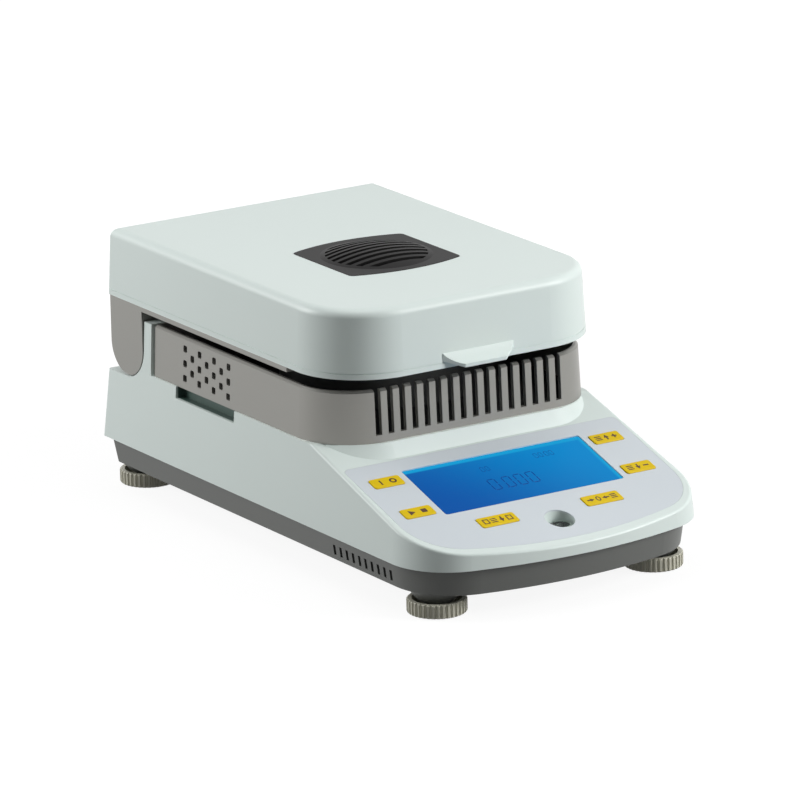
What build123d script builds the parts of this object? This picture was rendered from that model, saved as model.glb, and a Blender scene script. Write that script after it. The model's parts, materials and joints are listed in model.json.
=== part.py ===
from build123d import *
import os
from math import atan, cos, degrees, radians, sin, sqrt, tan

# Grain moisture meter: a halogen heating chamber above a balance.
# Millimetres. +X is the meter's right, its front faces -Y, +Z is up and z = 0 is the table.
# The origin is the middle of the footprint, rear feet included.

# Housing in plan
body_w = 206.0
body_l = 383.0
front_arc_r = 287.0
front_corner_r = 40.0
rear_corner_r = 1.6
foot_overhang = 8.0

# Housing heights
tray_z = 15.4
split_z = 32.2
shoulder_z = 82.2
collar_h = 32.4

# Housing walls
wall = 2.6
cut_depth = 8.0
cut_over = 1.0
least_r = 1.0
side_lean = 4.1
rear_lean = 3.4
tower_lean = 1.6
quarter_turn = 90.0
rim_t = 2.4
rim_w = 8.0
tray_step = 3.8
tray_lean = 2.4
tray_corner_r = 44.0
tray_edge_r = 0.9
tray_wall = 2.5
tray_floor = 2.5
edge_r = 1.8

# Sloping control panel
panel_tilt = 17.0
panel_run = 141.0
overlay_t = 0.8
overlay_side = 6.1
overlay_front = 6.8
overlay_rear = 31.0
overlay_corner_r = 34.0
overlay_rear_r = 4.0
film_gap = 0.15

# Display
display_side = 39.65
display_h = 51.5
display_down = 68.5
window_sink = 0.8
lcd_t = 4.0
lcd_margin = 2.4

# Keys
side_key = (21.0, 9.8)
front_key = (26.0, 10.0)
side_key_in = 24.8
side_key_down = (51.2, 86.3)
front_key_x = 37.0
front_key_down = 109.7
key_r = 1.8
key_proud = 0.6
key_bevel = 0.3
key_travel = 0.5
key_gap = 0.25
key_flange = 1.2
key_flange_t = 1.2
dome_r = 3.0
dome_h = 0.9
dome_taper = 30.0
board_t = 1.6

# Spirit level
level_from_front = 26.0
level_well_r = 9.2
level_well_depth = 9.0
level_vial_r = 7.4
level_vial_h = 5.4
level_wall = 1.2
level_glass_t = 1.2
level_bubble_r = 2.2
bubble_rise = 0.75

# Tray vents
vents_from_front = 89.5
vent_sill = 3.4
tray_vents = 10
tray_vent_pitch = 6.9
tray_vent_w = 2.6
tray_vent_h = 6.4

# Housing screws and their posts
post_r = 4.5
post_in = 17.0
post_front = 128.0
post_rear = 48.0
screw_r = 1.6
screw_head_r = 3.2
screw_head_h = 1.8
screw_sink = 2.4

# Hinge
pivot_from_rear = 25.4
pivot_z = 95.6
cradle_r = 19.9
arm_r = 18.9
arm_w = 36.0
arm_gap = 0.5
pin_r = 4.0
pin_fit = 0.05
bush_r = 6.5
bush_l = 22.0
pin_end = 4.0
pin_grip = 14.0

# Heating chamber
collar_front = 121.0
collar_in = 5.3
tower_t = 8.5
chamber_shift = 2.45
collar_rear_gap = 0.3
collar_lean = 1.55
collar_wall = 3.0
collar_corner_r = 37.9
collar_rear_r = 3.0
collar_foot = 7.0
collar_foot_t = 2.4
collar_bevel = 1.4
slot_count = 16
slot_in = 33.52
slot_w = 4.1
slot_sill = 4.6
hole_size = 4.3
hole_r = 1.1
hole_pitch_y = 8.47
hole_pitch_z = 9.25
hole_columns = 7
holes_rear = 63.8
holes_z = 16.0
grip_rear = 64.2
grip_l = 68.5
grip_h = 7.3
grip_depth = 6.0
plinth_out = 2.2
plinth_taper = 35.0

# Lid
lid_in = 4.2
lid_front = 110.8
lid_rear = 3.5
lid_z = 123.8
lid_h = 42.2
lid_taper = 3.0
lid_wall = 2.5
lid_front_r = 46.0
lid_rear_r = 2.5
lid_top_r = 5.5
groove_up = 3.2
groove_w = 0.6
groove_d = 0.5
tab_root_w = 50.0
tab_w = 29.0
tab_reach = 8.3
tab_t = 2.1
tab_up = 0.8
tab_root = (4.3, 9.0)
lid_post_in = 14.8
lid_post_front = 40.0
lid_post_rear = 52.0
lid_screw_l = 9.0
grille_w = 79.0
grille_l = 66.4
grille_bow = 7.5
grille_r = 4.0
grille_proud = 0.3
grille_edge_r = 0.25
grille_rise = 4.6
grille_t = 2.4
grille_seat = 1.2
grille_lip = 3.0
grille_skirt = 3.0
vent_r = 31.5
vent_rim = 3.0
vent_pitch = 6.4
vent_slot = 3.4
vent_count = 9

# Lid's inner pan and lamp
pan_plate_t = 2.5
pan_plate_up = 1.7
rail_drop = 3.0
rail_w = 5.6
rail_front = 169.0
lamp_bore_r = 56.0
reflector_rim_r = 62.0
reflector_h = 24.0
reflector_top_r = 43.0
reflector_t = 1.0
reflector_edge_r = 4.0
lamp_ring_r = 34.0
lamp_tube_r = 4.5
lamp_up = 11.0
lamp_gap_deg = 26.0
lamp_end_r = 3.6
lamp_socket_r = 6.5
lamp_socket_h = 8.0
socket_grip = 5.0
glass_r = 60.0
glass_t = 3.0
retainer_w = 7.0
retainer_lip = 3.0
retainer_t = 1.6
probe_r = 1.6
probe_l = 12.0
probe_flange_r = 3.2

# Balance
shield_t = 1.5
shield_bore_r = 14.0
draft_r = 61.0
draft_t = 1.2
draft_h = 21.0
support_top = 14.8
support_t = 3.0
support_reach = 42.0
support_arm_w = 7.0
support_hub_r = 9.0
stem_r = 4.0
dish_r = 49.0
dish_h = 7.0
dish_t = 0.6
dish_rim = 2.5
cell_w = 26.0
cell_l = 130.0
cell_h = 22.0
cell_top = 66.0
cell_overlap = 14.0
cell_hole_r = 7.5
cell_hole_spread = 26.0
cell_slot_h = 3.8
cell_foot_l = 34.0
cell_screw_r = 3.0
base_flange_t = 4.0

# Boards
board_up = 7.0
board_inset = 4.0
standoff_r = 2.8
main_board_size = (130.0, 76.0)
main_board_front = 46.0
power_board_size = (48.0, 96.0)
power_board_in = 48.0
power_board_rear = 34.0
main_chips = [(-42, 8, 24, 24, 2.4), (-8, 16, 14, 20, 3), (22, -12, 18, 18, 8)]
main_chips += [(46, 18, 22, 14, 9), (-20, -20, 30, 8, 6)]
board_post_in = (28.0, 43.0)
board_post_down = (38.5, 105.0)
power_chips = [(0, -26, 40, 36, 26), (-12, 22, 12, 12, 20), (12, 20, 8, 30, 16), (-14, 38, 10, 10, 12)]

# Feet
foot_in = 26.0
foot_front = 41.5
knob_r = 18.0
knob_h = 8.4
knob_z = 0.8
knob_ribs = 36
rib_depth = 1.0
knob_bevel = 0.7
knob_cup_r = 14.9
knob_cup_depth = 5.6
pad_r = 13.5
pad_t = 1.4
pad_bevel = 0.35
stud_r = 4.0
stud_top = 30.0
stud_gap = 0.3
boss_top_r = 16.6
boss_end_r = 7.6
boss_neck = 2.6
boss_bulge = 1.2
boss_gap = 0.3
boss_overhang = 4.0
insert_r = 5.5
insert_l = 12.0
thread_gap = 0.08

# Sockets in the back
socket_z = 53.5
socket_sink = 2.2
socket_flange = 2.5
inlet_in = 53.0
inlet_flange = (50.0, 33.0)
inlet_hole = (28.5, 30.0)
inlet_corner_r = 3.0
inlet_depth = 24.0
cavity_size = (24.0, 16.6)
cavity_up = 4.6
cavity_cut = 4.5
cavity_depth = 16.0
pin_size = (2.0, 4.0)
pin_spread = 7.0
pin_raise = 2.0
pin_back = 5.5
drawer_size = (20.0, 6.6)
drawer_down = 9.6
drawer_depth = 18.0
drawer_gap = 0.2
drawer_lip = 1.2
drawer_grip = (10.0, 2.2)
inlet_screw_spread = 40.0
socket_screw_r = 1.3
socket_head_r = 2.6
jack_post_af = 4.8
jack_post_l = 5.0
serial_in = 55.0
serial_flange = (31.0, 12.6)
serial_hole = (20.0, 10.8)
serial_shell = (16.8, 8.4)
serial_shell_t = 0.6
serial_corner_r = 1.7
serial_slant = 2.1
serial_reach = 5.5
serial_screw_spread = 25.0
serial_pin_pitch = 2.76
serial_pin_r = 0.6

# Derived sizes and places
front_y = -(body_l + foot_overhang) / 2
rear_y = front_y + body_l
panel_y = front_y + panel_run
pivot_y = rear_y - pivot_from_rear
tower_rear_y = pivot_y - cradle_r
collar_w = body_w - 2 * collar_in
collar_y = front_y + collar_front
collar_rear_y = tower_rear_y - tower_t - collar_rear_gap
collar_top = shoulder_z + collar_h
chamber_y = (collar_y + collar_rear_y) / 2 - chamber_shift
holes_y = collar_rear_y - holes_rear
grip_y = collar_rear_y - grip_rear
slot_pitch = (collar_w - 2 * slot_in) / (slot_count - 1)
tilt = radians(panel_tilt)
panel = Plane(origin=(0, panel_y, shoulder_z), x_dir=(1, 0, 0), z_dir=(0, -sin(tilt), cos(tilt)))
lid_w = body_w - 2 * lid_in
lid_front_y = front_y + lid_front
lid_rear_y = rear_y - lid_rear
pan_z = lid_z + pan_plate_up
pan_top = pan_z + pan_plate_t
floor_z = tray_z + tray_floor
arm_out = lid_w / 2 - film_gap
arm_in = arm_out - arm_w
pedestal_w = 2 * (arm_in - arm_gap)
pedestal_r = collar_top - pivot_z
chamber = Location((0, chamber_y, 0))
display_w = body_w - 2 * display_side
side_key_x = body_w / 2 - side_key_in
post_x = body_w / 2 - post_in
lid_post_x = lid_w / 2 - lid_post_in
foot_x = body_w / 2 - foot_in
inlet_x = inlet_in - body_w / 2
serial_x = body_w / 2 - serial_in
power_board_x = power_board_in - body_w / 2

standing = (Align.CENTER, Align.CENTER, Align.MIN)

os.makedirs("parts", exist_ok=True)


def save(piece, name):
    """Labels a finished piece and writes it."""
    piece.label = name
    export_step(piece, f"parts/{name}.step")


def panel_z(y):
    """Height of the panel's slope at a place from front to back."""
    return shoulder_z + (y - panel_y) * tan(tilt)


def plan(height, half_w, front, rear, front_r, rear_r, bow_r=0):
    """Plan outline at a height, with round corners and, with bow_r, a bowed front."""
    side = front + bow_r - sqrt(bow_r**2 - half_w**2) if bow_r else front
    with BuildSketch(Plane.XY.offset(height)) as outline:
        with BuildLine():
            Polyline((half_w, side), (half_w, rear), (-half_w, rear), (-half_w, side))
            if bow_r:
                ThreePointArc((-half_w, side), (0, front), (half_w, side))
            else:
                Line((-half_w, side), (half_w, side))
        make_face()
        fillet(outline.vertices().group_by(Axis.Y)[0], front_r)
        fillet(outline.vertices().group_by(Axis.Y)[-1], rear_r)
    return outline.sketch


def housing_section(height, inset):
    """Plan of the upper housing, whose walls lean in with height, moved in by inset."""
    up = min((height - split_z) / (shoulder_z - split_z), 1)
    above = max((height - shoulder_z) / collar_h, 0)
    half_w = body_w / 2 - side_lean * up - tower_lean * above - inset
    front = front_y + side_lean * up + inset
    rear = rear_y - rear_lean * up - inset
    rear_r = max(rear_corner_r - inset, least_r)
    return plan(height, half_w, front, rear, front_corner_r - inset, rear_r, front_arc_r)


def side_profile(inset, low, tower):
    """Side view of the upper housing, moved in by inset: slope, shoulder, tower and cradle."""
    top = shoulder_z - inset
    knee = panel_y + inset * (1 / cos(tilt) - 1) / tan(tilt)
    nose = front_y - wall
    tail = rear_y + wall
    nose_z = top - (knee - nose) * tan(tilt)
    radius = cradle_r + inset
    rise = 0 if tower else degrees(atan((pivot_z - top) / sqrt(radius**2 - (pivot_z - top) ** 2)))
    tower_front = tower_rear_y - tower_t
    with BuildSketch(Plane.YZ) as profile:
        with BuildLine():
            cradle = CenterArc((pivot_y, pivot_z), radius, 2 * quarter_turn + rise, quarter_turn - rise)
            points = [cradle @ 1, (tail, pivot_z - radius), (tail, low)]
            points += [(nose, low), (nose, nose_z), (knee, top)]
            if tower:
                points += [(tower_front, top), (tower_front, collar_top), (pivot_y - radius, collar_top)]
            Polyline(*points, cradle @ 0)
        make_face()
    return profile.sketch


def housing_walls(inset, low):
    """Leaning walls of the upper housing as a closed block, moved in by inset."""
    heights = (low, shoulder_z, collar_top + wall)
    with BuildPart() as walls:
        loft([housing_section(height, inset).face() for height in heights], ruled=True)
    return walls.part


def housing_form(inset, low, tower):
    """Closed form of the upper housing, from low up, moved in by inset."""
    with BuildPart() as form:
        add(housing_walls(inset, low))
        extrude(side_profile(inset, low, tower), amount=body_w, both=True, mode=Mode.INTERSECT)
    return form.part


def within(form, solid):
    """The share of a solid that lies inside a form."""
    with BuildPart() as share:
        add(solid)
        add(form, mode=Mode.INTERSECT)
    return share.part


def posts(radius, low, high, places):
    """Round posts between two heights."""
    with BuildPart() as group:
        with BuildSketch(Plane.XY.offset(low)):
            with Locations(*places):
                Circle(radius)
        extrude(amount=high - low)
    return group.part


def block(low, high):
    """Box between two corners."""
    with BuildPart() as box:
        with BuildSketch(Plane.XY.offset(low[2])):
            with Locations(((low[0] + high[0]) / 2, (low[1] + high[1]) / 2)):
                Rectangle(high[0] - low[0], high[1] - low[1])
        extrude(amount=high[2] - low[2])
    return box.part


def bevelled_disc(place, radius, low, high, bevel):
    """Upright disc with both its edges bevelled."""
    with BuildPart() as disc:
        add(posts(radius, low, high, [place]))
        chamfer(disc.edges().filter_by(GeomType.CIRCLE), bevel)
    return disc.part


def panel_slab(grow, low, high):
    """Slab with the overlay's outline, grown by grow, between two depths measured from the panel's face."""
    with BuildPart() as slab:
        half_w = body_w / 2 - overlay_side + grow
        front = front_y + overlay_front - grow
        rear = panel_y - overlay_rear * cos(tilt) + grow
        outline = plan(tray_z, half_w, front, rear, overlay_corner_r + grow, overlay_rear_r, front_arc_r)
        extrude(outline, amount=shoulder_z - tray_z)
        with BuildSketch(panel.offset(low)):
            Rectangle(2 * body_w, 4 * panel_run)
        extrude(amount=high - low, mode=Mode.INTERSECT)
    return slab.part


def panel_prism(size, place, low, high, grow=0, corner=key_r):
    """Round-cornered block square to the panel, between two depths measured from its face."""
    with BuildPart() as prism:
        with BuildSketch(panel.offset(low)):
            with Locations(place):
                RectangleRounded(size[0] + 2 * grow, size[1] + 2 * grow, corner)
        extrude(amount=high - low)
    return prism.part


key_places = {
    "key_on_off": (side_key, (-side_key_x, -side_key_down[0])),
    "key_test": (side_key, (-side_key_x, -side_key_down[1])),
    "key_print": (front_key, (-front_key_x, -front_key_down)),
    "key_tare": (front_key, (front_key_x, -front_key_down)),
    "key_up": (side_key, (side_key_x, -side_key_down[0])),
    "key_down": (side_key, (side_key_x, -side_key_down[1])),
}
display_place = (0, -display_down)
display_size = (display_w, display_h)
level_y = front_y + level_from_front
level_top = panel_z(level_y)
level_floor = level_top - level_well_depth
panel_back = -wall
board_face = panel_back - key_flange_t - key_travel - dome_h - film_gap
board_spots = {
    "main": ((0, front_y + main_board_front + main_board_size[1] / 2), main_board_size),
    "power": ((power_board_x, rear_y - power_board_rear - power_board_size[1] / 2), power_board_size),
}
board_posts = [
    (side * (body_w / 2 - inward), -down)
    for side in (-1, 1) for inward, down in zip(board_post_in, board_post_down)
]

screw_posts = [(side * post_x, y) for side in (-1, 1) for y in (front_y + post_front, rear_y - post_rear)]
socket_places = [(inlet_x, inlet_flange, inlet_hole), (serial_x, serial_flange, serial_hole)]
socket_face = rear_y - rear_lean - socket_sink
socket_wall = wall


def socket_screw_holes(radius):
    """Rods along the screws of both sockets, from in front of the flanges to inside the wall."""
    with BuildPart() as rods:
        with BuildSketch(Plane.XZ.offset(-rear_y)):
            for x, spread in ((inlet_x, inlet_screw_spread), (serial_x, serial_screw_spread)):
                with Locations((x, socket_z)):
                    with GridLocations(spread, 1, 2, 1):
                        Circle(radius)
        extrude(amount=rear_y - socket_face + 3 * socket_wall)
    return rods.part


# Upper housing: a pale shell with the control panel, the chamber's shoulder and the hinge's cradle
outer_form = housing_form(0, split_z, True)
inner_form = housing_form(wall, split_z + rim_t, False)
with BuildPart() as outer_shell:
    add(outer_form)
    face = outer_shell.faces().filter_by(panel).sort_by(SortBy.AREA)[-1]
    lip = face.edges().filter_by_position(Axis.Y, front_y - cut_over, panel_y - cut_over)
    fillet(lip, edge_r)

with BuildPart() as plinth:
    half_w = collar_w / 2 - plinth_out
    outline = plan(shoulder_z, half_w, collar_y - plinth_out, collar_rear_y, collar_corner_r, collar_rear_r)
    extrude(outline, amount=panel_z(collar_y) - shoulder_z - wall, taper=-plinth_taper)

post_ring = posts(post_r, split_z, collar_top, screw_posts)
level_boss = posts(level_well_r + level_wall, level_floor - level_wall, shoulder_z, [(0, level_y)])

with BuildPart() as upper_housing:
    add(outer_shell.part)
    add(within(housing_walls(0, split_z), plinth.part))
    add(inner_form, mode=Mode.SUBTRACT)
    extrude(housing_section(split_z, rim_w), amount=rim_t, mode=Mode.SUBTRACT)
    add(within(outer_form, post_ring))
    add(within(outer_form, level_boss))
    # Hinge pedestal between the lid's two arms
    with BuildSketch(Plane.YZ):
        with Locations((pivot_y, pivot_z)):
            Circle(pedestal_r)
        with BuildLine():
            ledge = pivot_z - cradle_r - wall
            Polyline(
                (tower_rear_y - wall, ledge), (pivot_y + pedestal_r, ledge), (pivot_y + pedestal_r, pivot_z),
                (pivot_y, pivot_z), (pivot_y, collar_top), (tower_rear_y - wall, collar_top), close=True,
            )
        make_face()
    extrude(amount=pedestal_w / 2, both=True)
    # Backing for the two sockets, and the flat recess that each sits in
    for x, flange, hole in socket_places:
        half, high = flange[0] / 2 + wall, flange[1] / 2 + wall
        deep = socket_face - socket_wall
        backing = block((x - half, deep, socket_z - high), (x + half, rear_y, socket_z + high))
        add(within(outer_form, backing))
        half, high = flange[0] / 2 + film_gap, flange[1] / 2 + film_gap
        add(block((x - half, socket_face, socket_z - high), (x + half, rear_y + cut_over, socket_z + high)),
            mode=Mode.SUBTRACT)
        half, high = hole[0] / 2, hole[1] / 2
        low = (x - half, deep - cut_over, socket_z - high)
        add(block(low, (x + half, rear_y, socket_z + high)), mode=Mode.SUBTRACT)
    add(socket_screw_holes(socket_screw_r), mode=Mode.SUBTRACT)
    # Grip recesses under the collar, one each side, lined by a wall of their own
    for side in (-1, 1):
        back = body_w / 2 - side_lean - grip_depth
        edges = sorted((side * (back - wall), side * (body_w / 2)))
        low = (edges[0], grip_y - grip_l / 2 - wall, shoulder_z - grip_h - wall)
        high = (edges[1], grip_y + grip_l / 2 + wall, shoulder_z)
        add(within(outer_form, block(low, high)))
        edges = sorted((side * back, side * body_w))
        low = (edges[0], grip_y - grip_l / 2, shoulder_z - grip_h)
        high = (edges[1], grip_y + grip_l / 2, shoulder_z)
        add(block(low, high), mode=Mode.SUBTRACT)
    # Panel: pocket for the overlay, display opening and key holes
    add(panel_slab(film_gap, -overlay_t, 0), mode=Mode.SUBTRACT)
    add(panel_prism(display_size, display_place, -cut_depth, 0, film_gap), mode=Mode.SUBTRACT)
    for size, place in key_places.values():
        add(panel_prism(size, place, -cut_depth, 0, key_gap), mode=Mode.SUBTRACT)
    for place in board_posts:
        add(panel_prism((2 * post_r, 2 * post_r), place, board_face, -wall, 0, post_r - film_gap))
    # Well of the spirit level, upright in the slope
    with Locations((0, level_y, level_floor)):
        Cylinder(level_well_r, shoulder_z - level_floor, align=standing, mode=Mode.SUBTRACT)
    # Stem passage, pin bores and screw holes
    with Locations((0, chamber_y, shoulder_z)):
        Cylinder(shield_bore_r, cut_depth, mode=Mode.SUBTRACT)
    with BuildSketch(Plane.YZ):
        with Locations((pivot_y, pivot_z)):
            Circle(pin_r)
    extrude(amount=pedestal_w / 2, both=True, mode=Mode.SUBTRACT)
    with BuildSketch(Plane.XY.offset(split_z)):
        with Locations(*screw_posts):
            Circle(screw_r)
    extrude(amount=cut_depth, mode=Mode.SUBTRACT)
save(upper_housing.part, "upper_housing")


def tray_section(height, inset):
    """Plan of the lower housing, which steps in under the upper one and leans in downwards."""
    down = (split_z - height) / (split_z - tray_z)
    step = tray_step + tray_lean * down + inset
    rear_r = max(rear_corner_r - inset, least_r)
    corner = tray_corner_r - step + tray_step
    return plan(height, body_w / 2 - step, front_y + step, rear_y - step, corner, rear_r, front_arc_r)


foot_places = {
    "front_left": (-foot_x, front_y + foot_front),
    "front_right": (foot_x, front_y + foot_front),
    "rear_left": (-foot_x, rear_y + foot_overhang - knob_r),
    "rear_right": (foot_x, rear_y + foot_overhang - knob_r),
}
knob_top = knob_z + knob_h
cup_floor = knob_top - knob_cup_depth
boss_end = cup_floor + boss_gap

# Lower housing: a dark grey tray with side vents and a tapered boss over each foot
with BuildPart() as tray_cavity:
    loft([tray_section(height, tray_wall).face() for height in (floor_z, split_z + wall)], ruled=True)
with BuildPart() as foot_boss:
    with BuildSketch(Plane.XZ):
        with BuildLine():
            neck = (boss_end_r, boss_end + boss_neck)
            SagittaArc(neck, (boss_top_r, tray_z), -boss_bulge)
            top_of_boss = boss_end + insert_l + tray_wall
            Polyline(
                (boss_top_r, tray_z), (boss_top_r, floor_z), (boss_end_r, floor_z),
                (boss_end_r, top_of_boss), (0, top_of_boss), (0, boss_end), (boss_end_r, boss_end), neck,
            )
        make_face()
    revolve(axis=Axis.Z)
with BuildPart() as foot_bosses:
    for x, y in foot_places.values():
        add(foot_boss.part.moved(Location((x, y, 0))))
    housing_rear = block((-body_w, front_y, 0), (body_w, rear_y + boss_overhang, split_z))
    add(housing_rear, mode=Mode.INTERSECT)
with BuildPart() as lower_housing:
    loft([tray_section(height, 0).face() for height in (tray_z, split_z)], ruled=True)
    fillet(lower_housing.faces().sort_by(Axis.Z)[0].edges(), tray_edge_r)
    add(tray_cavity.part, mode=Mode.SUBTRACT)
    add(foot_bosses.part)
    # Vent slots low in both sides
    vent_y = front_y + vents_from_front
    with BuildSketch(Plane.YZ):
        with Locations((vent_y, tray_z + vent_sill + tray_vent_h / 2)):
            with GridLocations(tray_vent_pitch, 1, tray_vents, 1):
                Rectangle(tray_vent_w, tray_vent_h)
    extrude(amount=body_w, both=True, mode=Mode.SUBTRACT)
    # Insert pockets and stud passages
    with BuildSketch(Plane.XY.offset(boss_end)):
        with Locations(*foot_places.values()):
            Circle(insert_r)
    extrude(amount=insert_l, mode=Mode.SUBTRACT)
    with BuildSketch(Plane.XY.offset(boss_end)):
        with Locations(*foot_places.values()):
            Circle(stud_r + stud_gap)
    extrude(amount=split_z - boss_end, mode=Mode.SUBTRACT)
    # Housing screws: a seat in the floor under each post
    add(posts(post_r, floor_z - tray_floor, split_z, screw_posts))
    with BuildSketch(Plane.XY.offset(tray_z)):
        with Locations(*screw_posts):
            Circle(screw_r + thread_gap)
    extrude(amount=split_z - tray_z, mode=Mode.SUBTRACT)
    with BuildSketch(Plane.XY.offset(tray_z)):
        with Locations(*screw_posts):
            Circle(screw_head_r + thread_gap)
    extrude(amount=screw_sink, mode=Mode.SUBTRACT)
save(lower_housing.part, "lower_housing")

with BuildPart() as housing_screws:
    for x, y in screw_posts:
        with Locations((x, y, tray_z + screw_sink - screw_head_h)):
            Cylinder(screw_head_r, screw_head_h, align=standing)
        with Locations((x, y, tray_z + screw_sink)):
            Cylinder(screw_r, split_z + wall - tray_z, align=standing)
save(housing_screws.part, "housing_screws")

# Feet: a knurled knob with its stud, a rubber pad that stays put under it, and a brass insert
with BuildPart() as foot_inserts:
    add(posts(insert_r, boss_end, boss_end + insert_l, foot_places.values()))
    add(posts(stud_r + thread_gap, boss_end, boss_end + insert_l, foot_places.values()), mode=Mode.SUBTRACT)
save(foot_inserts.part, "foot_inserts")

for place, (x, y) in foot_places.items():
    with BuildPart() as foot_pad:
        with BuildSketch():
            with Locations((x, y)):
                Circle(pad_r)
        extrude(amount=pad_t)
        chamfer(foot_pad.faces().sort_by(Axis.Z)[0].edges(), pad_bevel)
    save(foot_pad.part, f"foot_pad_{place}")

    with BuildPart() as foot_knob:
        with BuildSketch(Plane.XY.offset(knob_z)):
            with Locations((x, y)):
                Circle(knob_r)
                with PolarLocations(knob_r, knob_ribs, start_angle=180 / knob_ribs):
                    Circle(rib_depth, mode=Mode.SUBTRACT)
        extrude(amount=knob_h)
        add(bevelled_disc((x, y), knob_r, knob_z, knob_top, knob_bevel), mode=Mode.INTERSECT)
        with BuildSketch(Plane.XY.offset(cup_floor)):
            with Locations((x, y)):
                Circle(knob_cup_r)
        extrude(amount=knob_h, mode=Mode.SUBTRACT)
        with BuildSketch(Plane.XY.offset(knob_z)):
            with Locations((x, y)):
                Circle(pad_r + film_gap)
        extrude(amount=pad_t - knob_z, mode=Mode.SUBTRACT)
        with BuildSketch(Plane.XY.offset(pad_t)):
            with Locations((x, y)):
                Circle(stud_r)
        extrude(amount=stud_top - pad_t)
    save(foot_knob.part, f"foot_knob_{place}")

# Panel overlay: a printed film with openings for the display, the keys and the level
with BuildPart() as panel_overlay:
    add(panel_slab(0, -overlay_t, 0))
    add(panel_prism(display_size, display_place, -cut_depth, 0, 0), mode=Mode.SUBTRACT)
    for size, place in key_places.values():
        add(panel_prism(size, place, -cut_depth, 0, key_gap), mode=Mode.SUBTRACT)
    with Locations((0, level_y, level_floor)):
        Cylinder(level_well_r, shoulder_z - level_floor, align=standing, mode=Mode.SUBTRACT)
save(panel_overlay.part, "panel_overlay")

# Keys: a cap through the overlay and a wider flange behind the housing wall, over a dome switch
for name, (size, place) in key_places.items():
    with BuildPart() as key:
        add(panel_prism(size, place, panel_back - key_flange_t, key_proud))
        chamfer(key.faces().filter_by(panel).sort_by(SortBy.DISTANCE)[-1].edges(), key_bevel)
        add(panel_prism(size, place, panel_back - key_flange_t, panel_back, key_flange))
    save(key.part, name)

# Key board behind the keys, cut out round the display and the level's cup
with BuildPart() as key_board:
    add(panel_slab(-overlay_side, board_face - board_t, board_face))
    add(panel_prism(display_size, display_place, board_face - 2 * board_t, 0, lcd_margin + key_gap),
        mode=Mode.SUBTRACT)
    add(posts(level_well_r + level_wall + key_gap, floor_z, shoulder_z, [(0, level_y)]), mode=Mode.SUBTRACT)
    with BuildSketch(panel.offset(board_face)):
        with Locations(*(place for size, place in key_places.values())):
            Circle(dome_r)
    extrude(amount=dome_h, taper=dome_taper)
save(key_board.part, "key_board")

with BuildPart() as display_window:
    add(panel_prism(display_size, display_place, panel_back, -window_sink))
save(display_window.part, "display_window")

with BuildPart() as display_module:
    add(panel_prism(display_size, display_place, panel_back - lcd_t, panel_back, lcd_margin))
    add(panel_prism(display_size, display_place, panel_back - lcd_t - board_t, panel_back - lcd_t, 0))
save(display_module.part, "display_module")

# Spirit level: a cup of liquid with its bubble, under a small window
with BuildPart() as level_cup:
    add(posts(level_vial_r, level_floor, level_floor + level_vial_h, [(0, level_y)]))
    low, high = level_floor + level_wall, level_floor + level_vial_h
    add(posts(level_vial_r - level_wall, low, high, [(0, level_y)]), mode=Mode.SUBTRACT)
save(level_cup.part, "level_cup")

liquid_top = level_floor + level_vial_h - level_glass_t
with BuildPart() as level_liquid:
    add(posts(level_vial_r - level_wall, level_floor + level_wall, liquid_top, [(0, level_y)]))
    with Locations((0, level_y, liquid_top + bubble_rise)):
        Sphere(level_bubble_r, mode=Mode.SUBTRACT)
save(level_liquid.part, "level_liquid")

with BuildPart() as level_glass:
    add(posts(level_vial_r - level_wall, liquid_top, liquid_top + level_glass_t, [(0, level_y)]))
save(level_glass.part, "level_glass")


# Chamber collar: a leaning wall with front slots and side holes, on a foot flange
def collar_section(height, inset):
    """Plan of the collar, whose walls lean in with height while its back stays upright."""
    lean = collar_lean * (height - shoulder_z) / collar_h + inset
    corner = collar_corner_r - lean
    rear_r = max(collar_rear_r - inset, least_r)
    return plan(height, collar_w / 2 - lean, collar_y + lean, collar_rear_y - inset, corner, rear_r)


with BuildPart() as collar_cavity:
    heights = (shoulder_z + collar_foot_t, collar_top + cut_over)
    loft([collar_section(height, collar_wall).face() for height in heights], ruled=True)
with BuildPart() as chamber_collar:
    loft([collar_section(height, 0).face() for height in (shoulder_z, collar_top)], ruled=True)
    chamfer(chamber_collar.faces().sort_by(Axis.Z)[-1].edges(), collar_bevel)
    add(collar_cavity.part, mode=Mode.SUBTRACT)
    extrude(collar_section(shoulder_z, collar_wall + collar_foot), amount=collar_foot_t, mode=Mode.SUBTRACT)
    # Front slots, open at the top
    slot_z, slot_end = shoulder_z + slot_sill, collar_top + cut_over
    with BuildSketch(Plane.XZ.offset(-collar_y - 2 * collar_wall)):
        with Locations((0, (slot_z + slot_end) / 2)):
            with GridLocations(slot_pitch, 1, slot_count, 1):
                Rectangle(slot_w, slot_end - slot_z)
    extrude(amount=4 * collar_wall, mode=Mode.SUBTRACT)
    # Side holes: columns of three and of two by turns
    with BuildSketch(Plane.YZ):
        for column in range(hole_columns):
            y = holes_y + (column - (hole_columns - 1) / 2) * hole_pitch_y
            rows = 3 - column % 2
            with Locations((y, shoulder_z + holes_z)):
                with GridLocations(1, hole_pitch_z, 1, rows):
                    RectangleRounded(hole_size, hole_size, hole_r)
    extrude(amount=collar_w, both=True, mode=Mode.SUBTRACT)
save(chamber_collar.part, "chamber_collar")

# Heat shield, the chamber's black floor, on the collar's foot flange
shield_z = shoulder_z + collar_foot_t
shield_top = shield_z + shield_t
with BuildPart() as heat_shield:
    extrude(collar_section(shield_z, collar_wall + key_gap), amount=shield_t)
    with Locations((0, chamber_y, shield_z)):
        Cylinder(shield_bore_r, cut_depth, mode=Mode.SUBTRACT)
save(heat_shield.part, "heat_shield")

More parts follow.
